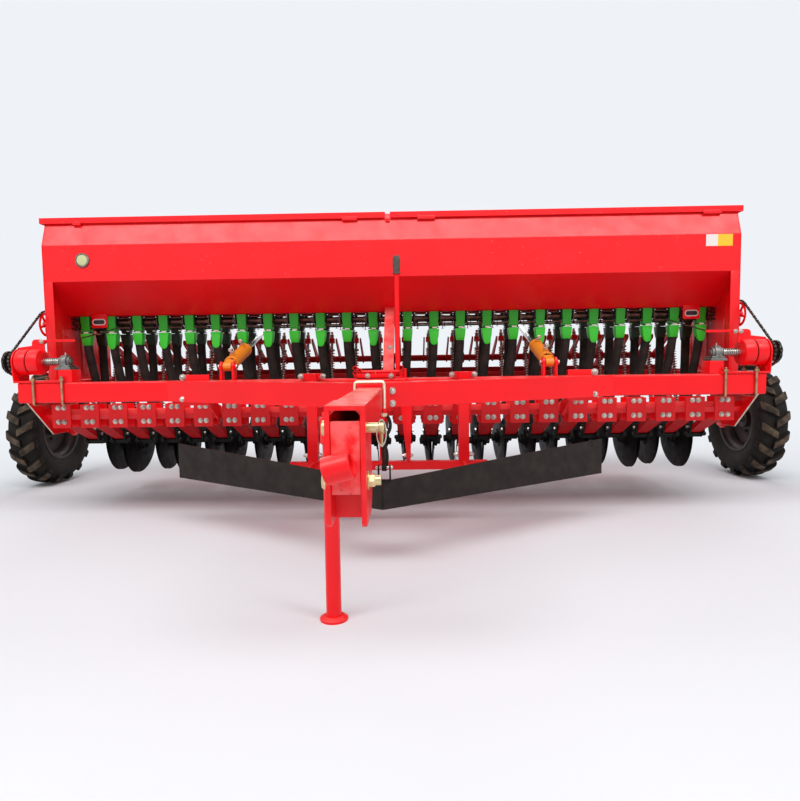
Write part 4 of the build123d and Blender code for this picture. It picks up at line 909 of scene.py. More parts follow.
class DRILL_OT_metering(bpy.types.Operator):
    """Build the metering housings, gate rods and small levers between the cups"""

    bl_idname = "drill.metering"
    bl_label = "Metering gear"

    def unit(self):
        """One feed housing at x = 0, y = 0, with its gate's link and clip."""
        shape = bmesh.new()
        axis_z = 1043
        for dx in (-33, 33):
            lathe(shape, [(0, -3), (24, -3), (25, 0), (24, 3), (0, 3)], at(dx, 0, axis_z, (1, 0, 0)), 18, 0)
            lathe(shape, [(0, 0), (4, 0), (3, 2.6), (0, 3)], at(dx * 1.25, -20.2, 1070, (0, -1, 0)), 7, 2)
        brick(shape, (-46, -20, 1062), (-31, 20, 1078.5), 1.5, 0)
        brick(shape, (31, -20, 1062), (46, 20, 1078.5), 1.5, 0)
        lathe(shape, [(12.5, -9), (17, -9), (17, 9), (12.5, 9), (12.5, -9)], at(48, 0, axis_z, (1, 0, 0)), 6, 1)
        brick(shape, (37, -16, 1012), (43, -13, 1070), 0.8, 1)
        lathe(shape, [(0, -4), (7, -4), (7, 4), (0, 4)], at(40, -12, 1012, (1, 0, 0)), 10, 0)
        brick(shape, (52, -16, 990), (66, -10, 994), 0.8, 2)
        brick(shape, (57, -14, 990), (61, -11, 1036), 0.8, 0)
        return keep(shape)

    def execute(self, context):
        unit = self.unit()
        for label, cup_y in CUP_YS.items():
            shape = bmesh.new()
            out = -1 if label == "front" else 1
            for x in CUP_XS:
                mirror = Matrix.Diagonal((1 if x > 0 else -1, -out, 1, 1))
                stamp(shape, unit, [Matrix.Translation((x, cup_y, 0)) @ mirror])
            bmesh.ops.recalc_face_normals(shape, faces=shape.faces[:])
            reach = HOPPER_HALF - 0.5
            for z, y, radius in ((1012, 12, 5.0), (1066, 14, 4.0)):
                rod(shape, (-reach, cup_y + out * y, z), (reach, cup_y + out * y, z), radius, 10, 1)
            finish_piece(f"metering_gear_{label}", shape, ("black", "oiled", "zinc"), "frame")
        return {"FINISHED"}


class DRILL_OT_hoses(bpy.types.Operator):
    """Run a smooth rubber hose from each funnel to its opener"""

    bl_idname = "drill.hoses"
    bl_label = "Seed hoses"

    def execute(self, context):
        for label, socket_y in SOCKET_YS.items():
            cup_y = CUP_YS[label]
            shape = bmesh.new()
            for side in SIDES.values():
                top, low = (side * CUP_SHIFT, cup_y, 916), (0, socket_y, 531)
                route = [top, (side * 21, cup_y + (socket_y - cup_y) * 0.1, 850), (0, socket_y, 600), low]
                hose = bmesh.new()
                tube(hose, route, 23.5, sides=4)
                stamp(shape, keep(hose), [Matrix.Translation((x, 0, 0)) for x in ROW_XS if x * side > 0])
            node = f"hoses_{label}"
            piece = finish_piece(f"{node}_rubber", shape, ("hose",), None, (node,), 60)
            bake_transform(piece)
        return {"FINISHED"}


class DRILL_OT_discs(bpy.types.Operator):
    """Build the double discs with their hubs and dust caps"""

    bl_idname = "drill.discs"
    bl_label = "Opener discs"

    def execute(self, context):
        lean = radians(6.0)
        toe = Vector((0, 0.766, 0.643))
        disc_radius, half_plate, play = 175.0, 1.5, 2.5
        gap = disc_radius * sin(lean) + half_plate + play
        rivet_count, rivet_circle = 5, 48
        blade = [
            *((0, -1.5), (60, -1.5), (171, -1.4), (174.8, 0.6), (171, 1.5), (60, 1.5), (58, 4), (40, 7), (33, 9)),
            *((33, 20), (31, 22), (22, 24), (21, 26), (21, 37), (19, 40), (10, 41.5), (0, 42)),
        ]
        rivet = [(0, 0), (5, 0), (5, 2.5), (3, 4), (0, 4.4)]
        shape = bmesh.new()
        pair = bmesh.new()
        for side in (-1, 1):
            normal = Vector((side * cos(lean), -sin(lean) * toe.y, -sin(lean) * toe.z))
            middle = Vector((side * gap, 0, 0))
            hub = at(*middle, normal)
            lathe(pair, blade, hub, 48)
            for index in range(rivet_count):
                angle = index * 2 * pi / rivet_count
                spot = hub @ Vector((rivet_circle * cos(angle), rivet_circle * sin(angle), 5))
                lathe(pair, rivet, Matrix.Translation(spot) @ at(0, 0, 0, normal), 8)
            rod(pair, middle - normal * half_plate, middle - normal * (half_plate + 10), 11, 14)
        mesh = keep(pair)
        for hub_y, xs in DISC_ROWS.items():
            stamp(shape, mesh, [Matrix.Translation((x, hub_y, DISC_Z)) for x in xs])
        finish_piece("opener_discs_turned", shape, ("black",), "openers", ("opener_discs",), 30)
        return {"FINISHED"}


class DRILL_OT_pressure_rods(bpy.types.Operator):
    """Build the pressure rods with their coil springs"""

    bl_idname = "drill.pressure_rods"
    bl_label = "Pressure rods"

    def execute(self, context):
        wire_radius = context.scene.drill_sizes.spring_wire * 500
        pin = Vector((0, 730.0, 430.0))
        tip = Vector((0, 840.0, 930.0))
        along = (tip - pin).normalized()
        reach = (tip - pin).length
        single = bmesh.new()
        eye = [(7.4, -4.8), (13.8, -4.8), (14, 0), (13.8, 4.8), (7.4, 4.8), (7.4, -4.8)]
        lathe(single, eye, at(*pin, axis=(1, 0, 0)), 20)
        rod(single, pin + along * 12, pin + along * 62, 4.3, 12)
        rod(single, pin + along * 58, pin + along * (reach + 57), 8, 14)
        spring_low, spring_high = 98, 450
        coil(single, pin + along * spring_low, pin + along * spring_high, 18 - wire_radius, wire_radius, 22, 1)
        for low, high in ((spring_low - 8, spring_low), (spring_high, spring_high + 6)):
            lathe(single, [(8, low), (17.5, low), (17.5, high), (8, high)], at(*pin, axis=along), 16, 0)
        brick(single, (-16.5, -14.5, -14.5), (16.5, 14.5, 14.5), 2, 2, at(*(pin + along * reach), axis=along))
        for past, height in ((15, 12), (28, 11)):
            hexagon(single, at(*(pin + along * (reach + past)), axis=along), 22, height, 0)
        mesh = keep(single)
        shape = bmesh.new()
        stamp(shape, mesh, [Matrix.Translation((x, 0, 0)) for x in ROW_XS])
        finish_piece(
            "pressure_rods_sprung", shape, ("zinc", "shade_red", "red"), "pressure_rods", ("pressure_rods",)
        )
        return {"FINISHED"}


class DRILL_OT_drives(bpy.types.Operator):
    """Build the side drives: bracket, bearing, grooved shaft, clutch drum, sprockets and spoked wheel"""

    bl_idname = "drill.drives"
    bl_label = "Side drives"

    def turned(self, target, side, profile, material=0, steps=36, y=DRIVE_Y, z=DRIVE_Z):
        """A turned part on a side drive's axis from (x, radius) pairs."""
        lathe(target, [(radius, x) for x, radius in profile], at(0, y, z, (side, 0, 0)), steps, material)

    def sprocket(self, target, x, y, z, radius, teeth, thick, material):
        """A toothed disc across X."""
        outline = []
        for index in range(teeth):
            for share, reach in ((0.0, -3.5), (0.28, 3.0), (0.5, 5.2), (0.72, 3.0)):
                angle = 2 * pi * (index + share) / teeth
                outline.append(((radius + reach) * cos(angle), (radius + reach) * sin(angle)))
        plate_from(target, outline, thick, material, at(x, y, z, (1, 0, 0)), 0.0)

    def spoked_wheel(self, target, x):
        """The red spoked chain wheel that drives the metering shafts."""
        rim = at(x, SPOKED_Y, SPOKED_Z, (1, 0, 0))
        lathe(target, [(52, -4), (60, -4), (64.5, -1.5), (64.5, 1.5), (60, 4), (52, 4), (52, -4)], rim, 40, 3)
        for index in range(5):
            spoke = rim @ Matrix.Rotation(index * 2 * pi / 5, 4, "Z")
            plate_from(target, [(18, -8), (54, -5), (54, 5), (18, 8)], 7, 3, spoke, 1.0)

    def shaft_line(self, target, side):
        """The grooved shaft with its clutch drum and sprockets, and the spoked wheel above."""
        self.turned(target, side, [(1575, 0), (1575, 14), (1576, 15), (1717, 15)], 1, 24)
        for start in range(1633, 1706, 10):
            ridge = [(start, 15), (start + 1.5, 19.5), (start + 5.5, 19.5), (start + 7, 15)]
            self.turned(target, side, ridge, 1, 24)
        inner_drum = [(1717, 15), (1717, 54), (1719, 60), (1724, 64), (1729, 64.5)]
        inner_drum += [(1765, 64.5), (1770, 63.5), (1772, 61), (1772, 57)]
        outer_drum = [(1778, 57), (1778, 61), (1780, 63.5), (1785, 64.5)]
        outer_drum += [(1822, 64.5), (1828, 63), (1831, 59), (1831, 20)]
        self.turned(target, side, inner_drum, 0, 56)
        self.turned(target, side, [(1771, 57), (1779, 57)], 4, 56)
        self.turned(target, side, outer_drum, 0, 56)
        hub = [(1840.2, 14.5), (1846, 14.5), (1846, 26), (1896, 26), (1896, 15), (1900, 15), (1900, 0)]
        self.turned(target, side, hub, 2, 24)
        for x in (UPPER_CHAIN_X, WHEEL_CHAIN_X):
            self.sprocket(target, side * x, DRIVE_Y, DRIVE_Z, 44.0, 15, 6.0, 2)
        hub = [(1837.5, 0), (1837.5, 22), (1856, 22), (1856, 16), (1872, 16), (1872, 0)]
        self.turned(target, side, hub, 3, 20, SPOKED_Y, SPOKED_Z)
        self.spoked_wheel(target, side * UPPER_CHAIN_X)

    def bracket(self, target, side):
        """Deck, round-topped side plate, bearing box, and the ear plate with its pull bar."""
        side_brick(target, side, (1604, 1840), (0, 120), (DECK, 731))
        outline = [(0, 731), (120, 731)] + arc((DRIVE_Y, DRIVE_Z), 65.5, -6, 192, 14)
        side_plate(target, outline, side * 1837, 6, 0, 0.0)
        side_brick(target, side, (1554, 1622), (13, 97), (DECK, 784), 3.0)
        ear = [(1703, 868), (1703, 920), (1709, 932), (1722, 936), (1747, 936), (1760, 932)]
        ear += [(1766, 920), (1766, 905), (1839, 896), (1839, 884), (1766, 880), (1766, 868)]
        front_plate(target, [(side * x, z) for x, z in ear], 50, 7, 0, 1.5)
        side_brick(target, side, (1556, 1745), (58, 64), (922, 934), 1.0)
        rod(target, (side * 1562, 61, 928), (side * 1562, 505, 1010), 3.5, 10, 1)

    def pillow(self, target, side):
        """The grey pillow block that carries the shaft's inner end."""
        middle_x = 1604
        side_brick(target, side, (1560, 1640), (15, 95), (784, 796), 2.5)
        side_brick(target, side, (1570, 1632), (22, 88), (795, 806), 3.0)
        outline = [(89, 803), (21, 803)] + arc((DRIVE_Y, DRIVE_Z), 33, 200, -220, 14)
        side_plate(target, outline, side * middle_x, 30, 0, 3.0)
        self.turned(target, side, [(1579, 17), (1579, 23), (1583, 26), (1626, 26), (1630, 23), (1630, 17)], 0, 28)
        for low, high, radius in ((856, 864, 5), (863, 870, 3)):
            rod(target, (side * middle_x, DRIVE_Y, low), (side * middle_x, DRIVE_Y, high), radius, 8, 1)
        nut = bolt(17, 9, 12, 6, 5)
        stamp(target, nut, [at(side * middle_x, y, 796) for y in (27, 83)])

    def execute(self, context):
        for name, side in SIDES.items():
            shape = bmesh.new()
            self.shaft_line(shape, side)
            node = f"drive_line_{name}"
            finishes = ("red", "steel", "chain", "red", "black")
            finish_piece(f"{node}_turned", shape, finishes, "frame", (node,))
            shape = bmesh.new()
            self.bracket(shape, side)
            node = f"drive_bracket_{name}"
            finish_piece(f"{node}_welded", shape, ("red", "chain"), "frame", (node,))
            shape = bmesh.new()
            self.pillow(shape, side)
            finish_piece(f"drive_bearing_{name}", shape, ("cast", "zinc"), "frame")
            shape = bmesh.new()
            xs = (1717,) if side < 0 else (1692, 1717)
            stamp(shape, bolt(15, 7, 11), [at(side * x, 46.4, 925, (0, -1, 0), 15) for x in xs])
            finish_piece(f"drive_ear_bolts_{name}", shape, ("zinc",), "frame")
        return {"FINISHED"}


class DRILL_OT_chains(bpy.types.Operator):
    """Lay roller chains on the sprockets, link by link"""

    bl_idname = "drill.chains"
    bl_label = "Drive chains"

    def path(self, start, start_radius, end, end_radius, pitch):
        """Points every pitch along the belt round two circles, in (y, z)."""
        start, end = Vector(start), Vector(end)
        gap = end - start
        heading = atan2(gap.y, gap.x)
        spread = atan2(sqrt(gap.length_squared - (start_radius - end_radius) ** 2), start_radius - end_radius)
        top, low = heading + spread, heading - spread

        def on_circle(middle, radius, angle):
            return middle + Vector((cos(angle), sin(angle))) * radius

        dense = []
        # Round the first circle and along the run that leaves it, then the same from the second
        for middle, radius, first, last, other, other_radius in (
            (start, start_radius, top, low + 2 * pi, end, end_radius),
            (end, end_radius, low, top, start, start_radius),
        ):
            count = max(6, int(abs(last - first) * radius / 2))
            dense += [on_circle(middle, radius, first + (last - first) * i / count) for i in range(count)]
            leave, arrive = on_circle(middle, radius, last), on_circle(other, other_radius, last)
            count = max(2, int((arrive - leave).length / 4))
            dense += [leave.lerp(arrive, i / count) for i in range(count)]
        lengths = [(dense[(i + 1) % len(dense)] - p).length for i, p in enumerate(dense)]
        total = sum(lengths)
        links = 2 * round(total / pitch / 2)
        spots, index, passed = [], 0, 0.0
        for number in range(links):
            goal = total * number / links
            while passed + lengths[index] < goal:
                passed += lengths[index]
                index += 1
            share = (goal - passed) / lengths[index]
            spots.append(dense[index].lerp(dense[(index + 1) % len(dense)], share))
        return spots

    def link(self, pitch, height, half_gap, thick):
        """Two side plates a pitch long, from y = 0 to y = pitch, and the pin at y = 0."""
        shape = bmesh.new()
        outline = []
        for end, turn in ((0.0, pi / 2), (pitch, -pi / 2)):
            for i in range(4):
                angle = turn + pi * i / 3
                outline.append((end + height / 2 * cos(angle), height / 2 * sin(angle)))
        for x in (-half_gap, half_gap):
            side_plate(shape, outline, x, thick, 0, 0.0)
        across, tip = at(0, 0, 0, (1, 0, 0)), half_gap + 2.0
        lathe(shape, [(0, -tip), (2.6, -tip), (2.6, tip), (0, tip)], across, 6)
        lathe(shape, [(5.2, -half_gap + 1), (5.2, half_gap - 1)], across, 8)
        return keep(shape)

    def lay(self, target, x, spots, inner, outer):
        """Links between the spots, alternately inner and outer."""
        count = len(spots)
        for index, spot in enumerate(spots):
            ahead = spots[(index + 1) % count] - spot
            turn = Matrix.Rotation(atan2(ahead.y, ahead.x), 4, "X")
            stamp(target, inner if index % 2 else outer, [Matrix.Translation((x, spot.x, spot.y)) @ turn])

    def execute(self, context):
        pitch = context.scene.drill_sizes.chain_pitch * 1000
        small_radius, spoked_radius = 50.5, 71.5
        wide = (self.link(pitch, 11.5, 3.6, 1.2), self.link(pitch, 11.0, 5.2, 1.2))
        thin = (self.link(pitch, 9.5, 2.8, 1.0), self.link(pitch, 9.0, 4.2, 1.0))
        for name, side in SIDES.items():
            shape = bmesh.new()
            wheel = self.path((DRIVE_Y, DRIVE_Z), small_radius, (WHEEL_Y, WHEEL_Z), small_radius, pitch)
            self.lay(shape, side * WHEEL_CHAIN_X, wheel, *wide)
            upper = self.path((DRIVE_Y, DRIVE_Z), small_radius, (SPOKED_Y, SPOKED_Z), spoked_radius, pitch)
            self.lay(shape, side * UPPER_CHAIN_X, upper, *thin)
            finish_piece(
                f"drive_chains_{name}_links", shape, ("chain",), "frame", (f"drive_chains_{name}",)
            )
        return {"FINISHED"}


class DRILL_OT_hitch(bpy.types.Operator):
    """Build the hitch tongue with its eye, the hitch pins and their ring"""

    bl_idname = "drill.hitch"
    bl_label = "Hitch"

    def tongue(self):
        """The welded channel between the cheeks, its neck and the towing eye."""
        shape = bmesh.new()
        front_plate(shape, [(-87.7, 482), (-12.3, 482), (-12.3, 666), (-87.7, 666)], -1438, 12, 0, 3.5)
        outline = [(-1434, 484), (-1434, 664), (-1360, 664), (-1360, 494), (-1370, 484)]
        for x in (-81.7, -18.3):
            side_plate(shape, outline, x, 12, 0, 2.0)
        brick(shape, (-88, -1459, 531), (-40, -1443, 584), 4.0, 1)
        brick(shape, (-86, -1474, 534), (-42, -1446, 581), 5.0, 1)
        eye = [(25.5, -33), (27.5, -35), (32.5, -35), (35.5, -32)]
        eye += [(radius, -height) for radius, height in eye[::-1]] + eye[:1]
        lathe(shape, eye, at(-64, -1481.5, 557, Vector((0.964, -0.07, 0.257)).normalized()), 48, 1)
        for side in (-1, 1):
            inner = -50 + side * 38
            corner = [(inner, 693.5), (inner - side * 13, 693.5), (inner, 680)]
            front_plate(shape, corner, -1434, 10, 0, 1.0)
        return shape

    def execute(self, context):
        shape = self.tongue()
        finish_piece("hitch_tongue_welded", shape, ("rubbed_sheen_red", "red"), "frame", ("hitch_tongue",))
        shape = bmesh.new()
        y, low, high = -1390.0, 508.0, 644.0
        left, right = -101.0, 1.0
        upper = [(0, left - 14), (18, left - 14), (20, left - 12), (20, left - 2), (13, left - 1), (13, right + 30)]
        upper += [(16, right + 30), (17, right + 32), (17, right + 42), (15, right + 44), (0, right + 44)]
        lower = [(0, left - 16), (19, left - 16), (22.5, left - 12), (22.5, left - 0.6), (13, left - 0.5)]
        lower += [(13, right + 33), (12, right + 34), (0, right + 34)]
        for pin, z in ((upper, high), (lower, low)):
            lathe(shape, pin, at(0, y, z, (1, 0, 0)), 32, 0)
        lathe(shape, [(13, 0.6), (25, 0.6), (25, 3.6), (13, 3.6)], at(right, y, low, (1, 0, 0)), 28, 0)
        hexagon(shape, at(right + 4, y, low, (1, 0, 0)), 31, 15, 0)
        rod(shape, (right + 26, y - 24, low + 3), (right + 26, y + 16, low - 3), 2.6, 8, 0)
        ring = []
        for i in range(8):
            angle = pi * i / 4
            ring.append((right + 37 + 13 * cos(angle), y - 14 + 9 * sin(angle), high - 12 + 34 * sin(angle)))
        tube(shape, ring, 1.9, 1, closed=True)
        rod(shape, (right + 36, y, high + 21), (right + 36, y, high - 50), 4.5, 10, 0)
        finish_piece("hitch_pins_plated", shape, ("yellow_zinc", "zinc"), "frame", ("hitch_pins",))
        return {"FINISHED"}


class DRILL_OT_beam_bolts(bpy.types.Operator):
    """Put the bolts and U-bolts on the front beam, the struts and the drawbar"""

    bl_idname = "drill.beam_bolts"
    bl_label = "Beam bolts"

    def u_bolt(self, target, side, x):
        """A U-bolt from below, round the beam."""
        front, rear, low = BEAM_FRONT - 7, BEAM_REAR + 7, BEAM_BOTTOM - 7
        corners = [(side * x, front, 748), (side * x, front, low), (side * x, rear, low), (side * x, rear, 748)]
        tube(target, eased(corners, 16), 6.0)

    def execute(self, context):
        big = bolt(24, 10, 17)
        mid = bolt(19, 8, 14)
        nut = bolt(19, 10, 14, 9, 6)
        shape = bmesh.new()
        for side in SIDES.values():
            stamp(shape, big, [at(side * 997.0, -7.2, 739, (0, -1, 0), 20)])
            stamp(shape, mid, [at(side * 989.0, -43.8, 635, (side * 0.4305, -0.9026, 0), 20)])
            for spread in (-54, 54):
                stamp(shape, mid, [at(side * 365.0 + spread, -19.2, 736, (0, -1, 0), 5)])
            for out in (-1, 1):
                stamp(shape, nut, [at(side * 365.0 + out * 28.2, -22, 350, (out, 0, 0), 10)])
        stamp(shape, nut, [at(x, -22, 347, (out, 0, 0), 10) for x, out in ((99.2, 1), (86.8, -1))])
        stamp(shape, mid, [at(99.2, -22, 430, (1, 0, 0)), at(7, 232, 873, (0, -0.675, 0.737), 12)])
        lean = Vector((0.4305, -0.9026, 0))
        stamp(shape, mid, [at(39, -498.5, z, lean, 8) for z in (688.0, 637.0)])
        finish_piece("beam_bolts", shape, ("zinc",), "frame")

        shape = bmesh.new()
        for side in SIDES.values():
            for x in (1598, 1740) if side < 0 else (1624, 1770):
                self.u_bolt(shape, side, x)
                stamp(shape, nut, [at(side * x, y, 731.2) for y in (BEAM_FRONT - 7, BEAM_REAR + 7)])
        finish_piece("drive_u_bolts", shape, ("brown_zinc",), "frame")

        shape = bmesh.new()
        brick(shape, (-101, -562, 705.2), (1, -528, 719), 2.0, 1)
        brick(shape, (0.5, -560, 602), (15, -530, 622), 1.5, 1)
        brick(shape, (-115, -560, 602), (-100.5, -530, 622), 1.5, 1)
        for y in (-553, -537):
            corners = [(-107, y, 596), (-107, y, 726), (7, y, 726), (7, y, 596)]
            tube(shape, eased(corners, 22), 7.0, 0)
        stamp(shape, bolt(19, 10, 12), [at(x, y, 602, (0, 0, -1)) for x in (-107, 7) for y in (-553, -537)])
        finish_piece("drawbar_u_bolts", shape, ("pale_zinc", "red"), "frame")
        return {"FINISHED"}


class DRILL_OT_fittings(bpy.types.Operator):
    """Build the hand lever, the little bracket on the beam and the levelling gear"""

    bl_idname = "drill.fittings"
    bl_label = "Lever, bracket and levelling gear"

    def hand_lever(self):
        """A round bar between two ears, with a capsule grip."""
        shape = bmesh.new()
        x, y = 50, 45
        brick(shape, (28, 20, DECK), (72, 64, 727), 1.5, 0)
        ear = [(27, 726), (60, 726), (58, 752), (51, 761), (39, 761), (31, 752)]
        for out in (-12, 12):
            side_plate(shape, ear, x + out, 5, 0, 1.5)
        rod(shape, (x, y, 735), (x, y, 1240), 12.5, 20, 0)
        rod(shape, (x - 18, y, 749), (x + 18, y, 749), 5, 12, 2)
        for out in (1, -1):
            hexagon(shape, at(x + 15 * out, y, 749, (out, 0, 0)), 15, 7, 2)
        grip = [(12.6, 1227), (20, 1227), (20.5, 1230), (19, 1233), (15.6, 1235), (17.5, 1246)]
        grip += [(18.5, 1270), (18.5, 1294), (17, 1305), (12, 1313), (6, 1316.5), (0, 1317)]
        lathe(shape, grip, at(x, y, 0), 24, 1)
        return shape

    def beam_bracket(self):
        """An angle on the beam with a cross tube and three short pipe ends."""
        shape = bmesh.new()
        brick(shape, (-150, 6, DECK), (35, 60, 726), 1.2, 0)
        brick(shape, (-150, 6, DECK), (35, 11, 745), 1.2, 0)
        rod(shape, (-150, 34, 752), (66, 34, 752), 9, 16, 0)
        for x in (-140, -60, 20):
            side_plate(shape, [(14, 725), (54, 725), (45, 756), (23, 756)], x, 5, 0, 1.0)
        for x, z, outer in ((-158, 772, 11), (-158, 747, 11), (-136, 762, 9), (66, 772, 11)):
            wall = [(outer - 3, 0), (outer, 0), (outer, 46), (outer - 3, 46), (outer - 3, 3), (0, 3)]
            lathe(shape, wall + [(0, 0), (outer - 3, 0)], at(x, 52, z, (0, -1, 0)), 18, 0)
        brick(shape, (-166, 20, 726), (-146, 50, 748), 1.5, 0)
        brick(shape, (58, 24, 726), (74, 50, 764), 1.5, 0)
        rod(shape, (84, 30, 721.5), (84, 30, 768), 9, 14, 0)
        heads = bmesh.new()
        stamp(heads, bolt(17, 8, 13), [at(-97, 5.8, 734, (0, -1, 0), 15), at(17, 5.8, 732, (0, -1, 0), 40)])
        merge(shape, heads, 1)
        lathe(shape, [(0, 0), (15, 0), (15, 3), (0, 3)], at(133, 40, DECK), 20, 1)
        return shape

    def levelling(self):
        """The black yoke over the board's point with its pin, the tie rod to the beam, the cable and a red strap."""
        shape = bmesh.new()
        y, z = -649, 404
        ear = [(-662, 352), (-636, 352), (-636, 404), (-643, 414), (-655, 414), (-662, 404)]
        for x in (-14, 30):
            side_plate(shape, ear, x, 6, 0, 1.5)
        brick(shape, (-17, -662, 349), (33, -636, 356), 1.5, 0)
        rod(shape, (-25, y, z), (41, y, z), 6.5, 14, 1)
        for x, out in ((33.5, 1), (-17.5, -1)):
            lathe(shape, [(0, 0), (12, 0), (12, 2.5), (0, 2.5)], at(x, y, z, (out, 0, 0)), 16, 1)
        rod(shape, (8, y, z), (-32, -30, 425), 7, 14, 0)
        lathe(shape, [(6.5, -9), (14, -9), (14, 9), (6.5, 9), (6.5, -9)], at(8, y, z, (1, 0, 0)), 18, 0)
        cable = [(-6, -500, 606), (22, -510, 590), (34, -540, 540), (2, -600, 500), (24, -640, 452), (16, -647, 408)]
        tube(shape, cable, 6.5, 0)
        front_plate(shape, [(60, 612), (116, 612), (107, 322), (90, 322)], -42, 5, 2, 1.5)
        return shape

    def execute(self, context):
        finishes = ("red", "grip", "zinc")
        finish_piece("hand_lever_bar", self.hand_lever(), finishes, "frame", ("hand_lever",))
        finish_piece("beam_bracket", self.beam_bracket(), ("red", "zinc"), "frame")
        finish_piece("levelling_yoke", self.levelling(), ("black", "zinc", "red"), "frame")
        return {"FINISHED"}


class DRILL_OT_hopper_trim(bpy.types.Operator):
    """Put the reflector, blank plates, level windows, lid tabs, ribs, rivets and hinges on the hopper"""

    bl_idname = "drill.hopper_trim"
    bl_label = "Hopper trim"

    def window(self, target, low, high):
        """A dark moulded level window with a pale oval ring, under the edge of the hopper's lower face."""
        middle = (low + high) / 2
        outline = [(low + 6, 1014), (high - 6, 1014), (high, 1020), (high, 1091), (low, 1091), (low, 1020)]
        front_plate(target, outline, 506, 7, 0, 1.5)
        steps, half_straight = 24, 20
        for radius, depth, material in ((18.0, 2.4, 1), (12.0, 3.6, 2)):
            oval = []
            for i in range(steps):
                angle = 2 * pi * i / steps
                straight = half_straight if cos(angle) > 0 else -half_straight
                oval.append((middle + straight + radius * cos(angle), 1046 + radius * sin(angle)))
            front_plate(target, oval, 502.5 - depth / 2, depth, material, 0.0)

    def execute(self, context):
        shape = bmesh.new()
        glass = at(-1620, HOPPER_FRONT, 1358, (0, -1, 0))
        lathe(shape, [(0, 0), (37.5, 0), (37.5, 5), (35, 8), (31, 8), (30, 5), (0, 5)], glass, 40, 0)
        lathe(shape, [(0, 4.5), (30, 4.5), (27, 8.5), (14, 10.5), (0, 11)], glass, 32, 1)
        finish_piece("reflector", shape, ("cast", "reflector"), "frame")

        shape = bmesh.new()
        brick(shape, (1655, 284.7, 1376), (1717, 286.1, 1436), 0.0, 0)
        brick(shape, (1716, 284.6, 1376), (1792, 286.1, 1436), 0.0, 1)
        finish_piece("blank_plates", shape, ("plate", "plate_orange"), "frame")

        shape = bmesh.new()
        self.window(shape, -1704, -1614)
        self.window(shape, 1640, 1734)
        finish_piece("level_windows", shape, ("red", "plate", "plate_dark"), "frame")

        for name, ranges in (("left", ((-1678, -1635), (-240, -160))), ("right", ((157, 251), (1650, 1745)))):
            shape = bmesh.new()
            for low, high in ranges:
                brick(shape, (low, 309.5, 1545), (high, 315, 1566), 1.5, 0)
                brick(shape, (low, 309.5, 1545), (high, 324, 1549), 1.5, 0)
            finish_piece(f"lid_tabs_{name}", shape, ("sheet",), f"lid_{name}")

        shape = bmesh.new()
        brick(shape, (-12, 312, 1538), (12, 327, 1556), 2.0, 0)
        rivet = bmesh.new()
        lathe(rivet, [(0, 0), (6.5, 0), (6, 2), (3.5, 3.6), (0, 4)], Matrix.Identity(4), 10)
        rivets = keep(rivet)
        stamp(shape, rivets, [at(x + 20, 499, 1094.4, (0, -0.585, -0.811)) for x in CUP_XS])
        for side in SIDES.values():
            side_brick(shape, side, (1787, HOPPER_HALF), (HOPPER_FRONT + 0.2, 290), (722, 1249))
            for y in (400, 600, 800):
                side_brick(shape, side, (HOPPER_HALF - 0.5, HOPPER_HALF + 5.5), (y, y + 40), (745, 1545), 2.5)
        for x in (-1220, -610, 0, 610, 1220):
            brick(shape, (x - 22, 953.5, 1251), (x + 22, 957.5, 1435), 1.5, 0)
        finish_piece("hopper_stiffeners", shape, ("sheet",), "frame")

        shape = bmesh.new()
        head = bolt(15, 6, 11)
        for side in SIDES.values():
            stamp(shape, head, [at(side * 1837.2, y, 741, (side, 0, 0), y) for y in (310, 350, 890, 930)])
            for x in (90, 480, 900, 1320, 1740):
                rod(shape, (side * x - 28, 908, 1581), (side * x + 28, 908, 1581), 6.8, 12)
        finish_piece("hopper_hardware", shape, ("zinc",), "frame")
        return {"FINISHED"}


class DRILL_OT_cylinder_fittings(bpy.types.Operator):
    """Put the gland rings, ports and pins on the lift cylinders"""

    bl_idname = "drill.cylinder_fittings"
    bl_label = "Cylinder fittings"

    def execute(self, context):
        pin = Vector((0, 60.0, 788.0))
        along = Vector((0, 0.9656, 0.2601))
        up = Vector((0, -0.2601, 0.9656))
        for name, side in SIDES.items():
            base = pin + Vector((side * 795.0, 0, 0))
            shape = bmesh.new()
            lathe(shape, [(34.5, 312), (36.5, 313), (36.5, 336), (33, 338), (20, 338)], at(*base, axis=along), 32, 0)
            lathe(shape, [(34.5, 60), (36.5, 61), (36.5, 72), (34.5, 73)], at(*base, axis=along), 32, 0)
            for reach in (96, 286):
                port = base + along * reach
                lathe(shape, [(0, 30), (14, 30), (14, 41), (12, 43), (0, 43)], at(*port, axis=up), 18, 0)
                hexagon(shape, at(*(port + up * 43), axis=up), 19, 10, 1)
                tube(shape, [port + up * 52, port + up * 68, port + up * 68 - along * 26], 7.5, 1)
                hexagon(shape, at(*(port + up * 68 - along * 22), axis=-along), 19, 12, 1)
            rod(shape, base - Vector((48, 0, 0)), base + Vector((48, 0, 0)), 11.8, 20, 1)
            finish_piece(f"cylinder_fittings_{name}", shape, ("orange", "zinc"), f"barrel_{name}")
        return {"FINISHED"}


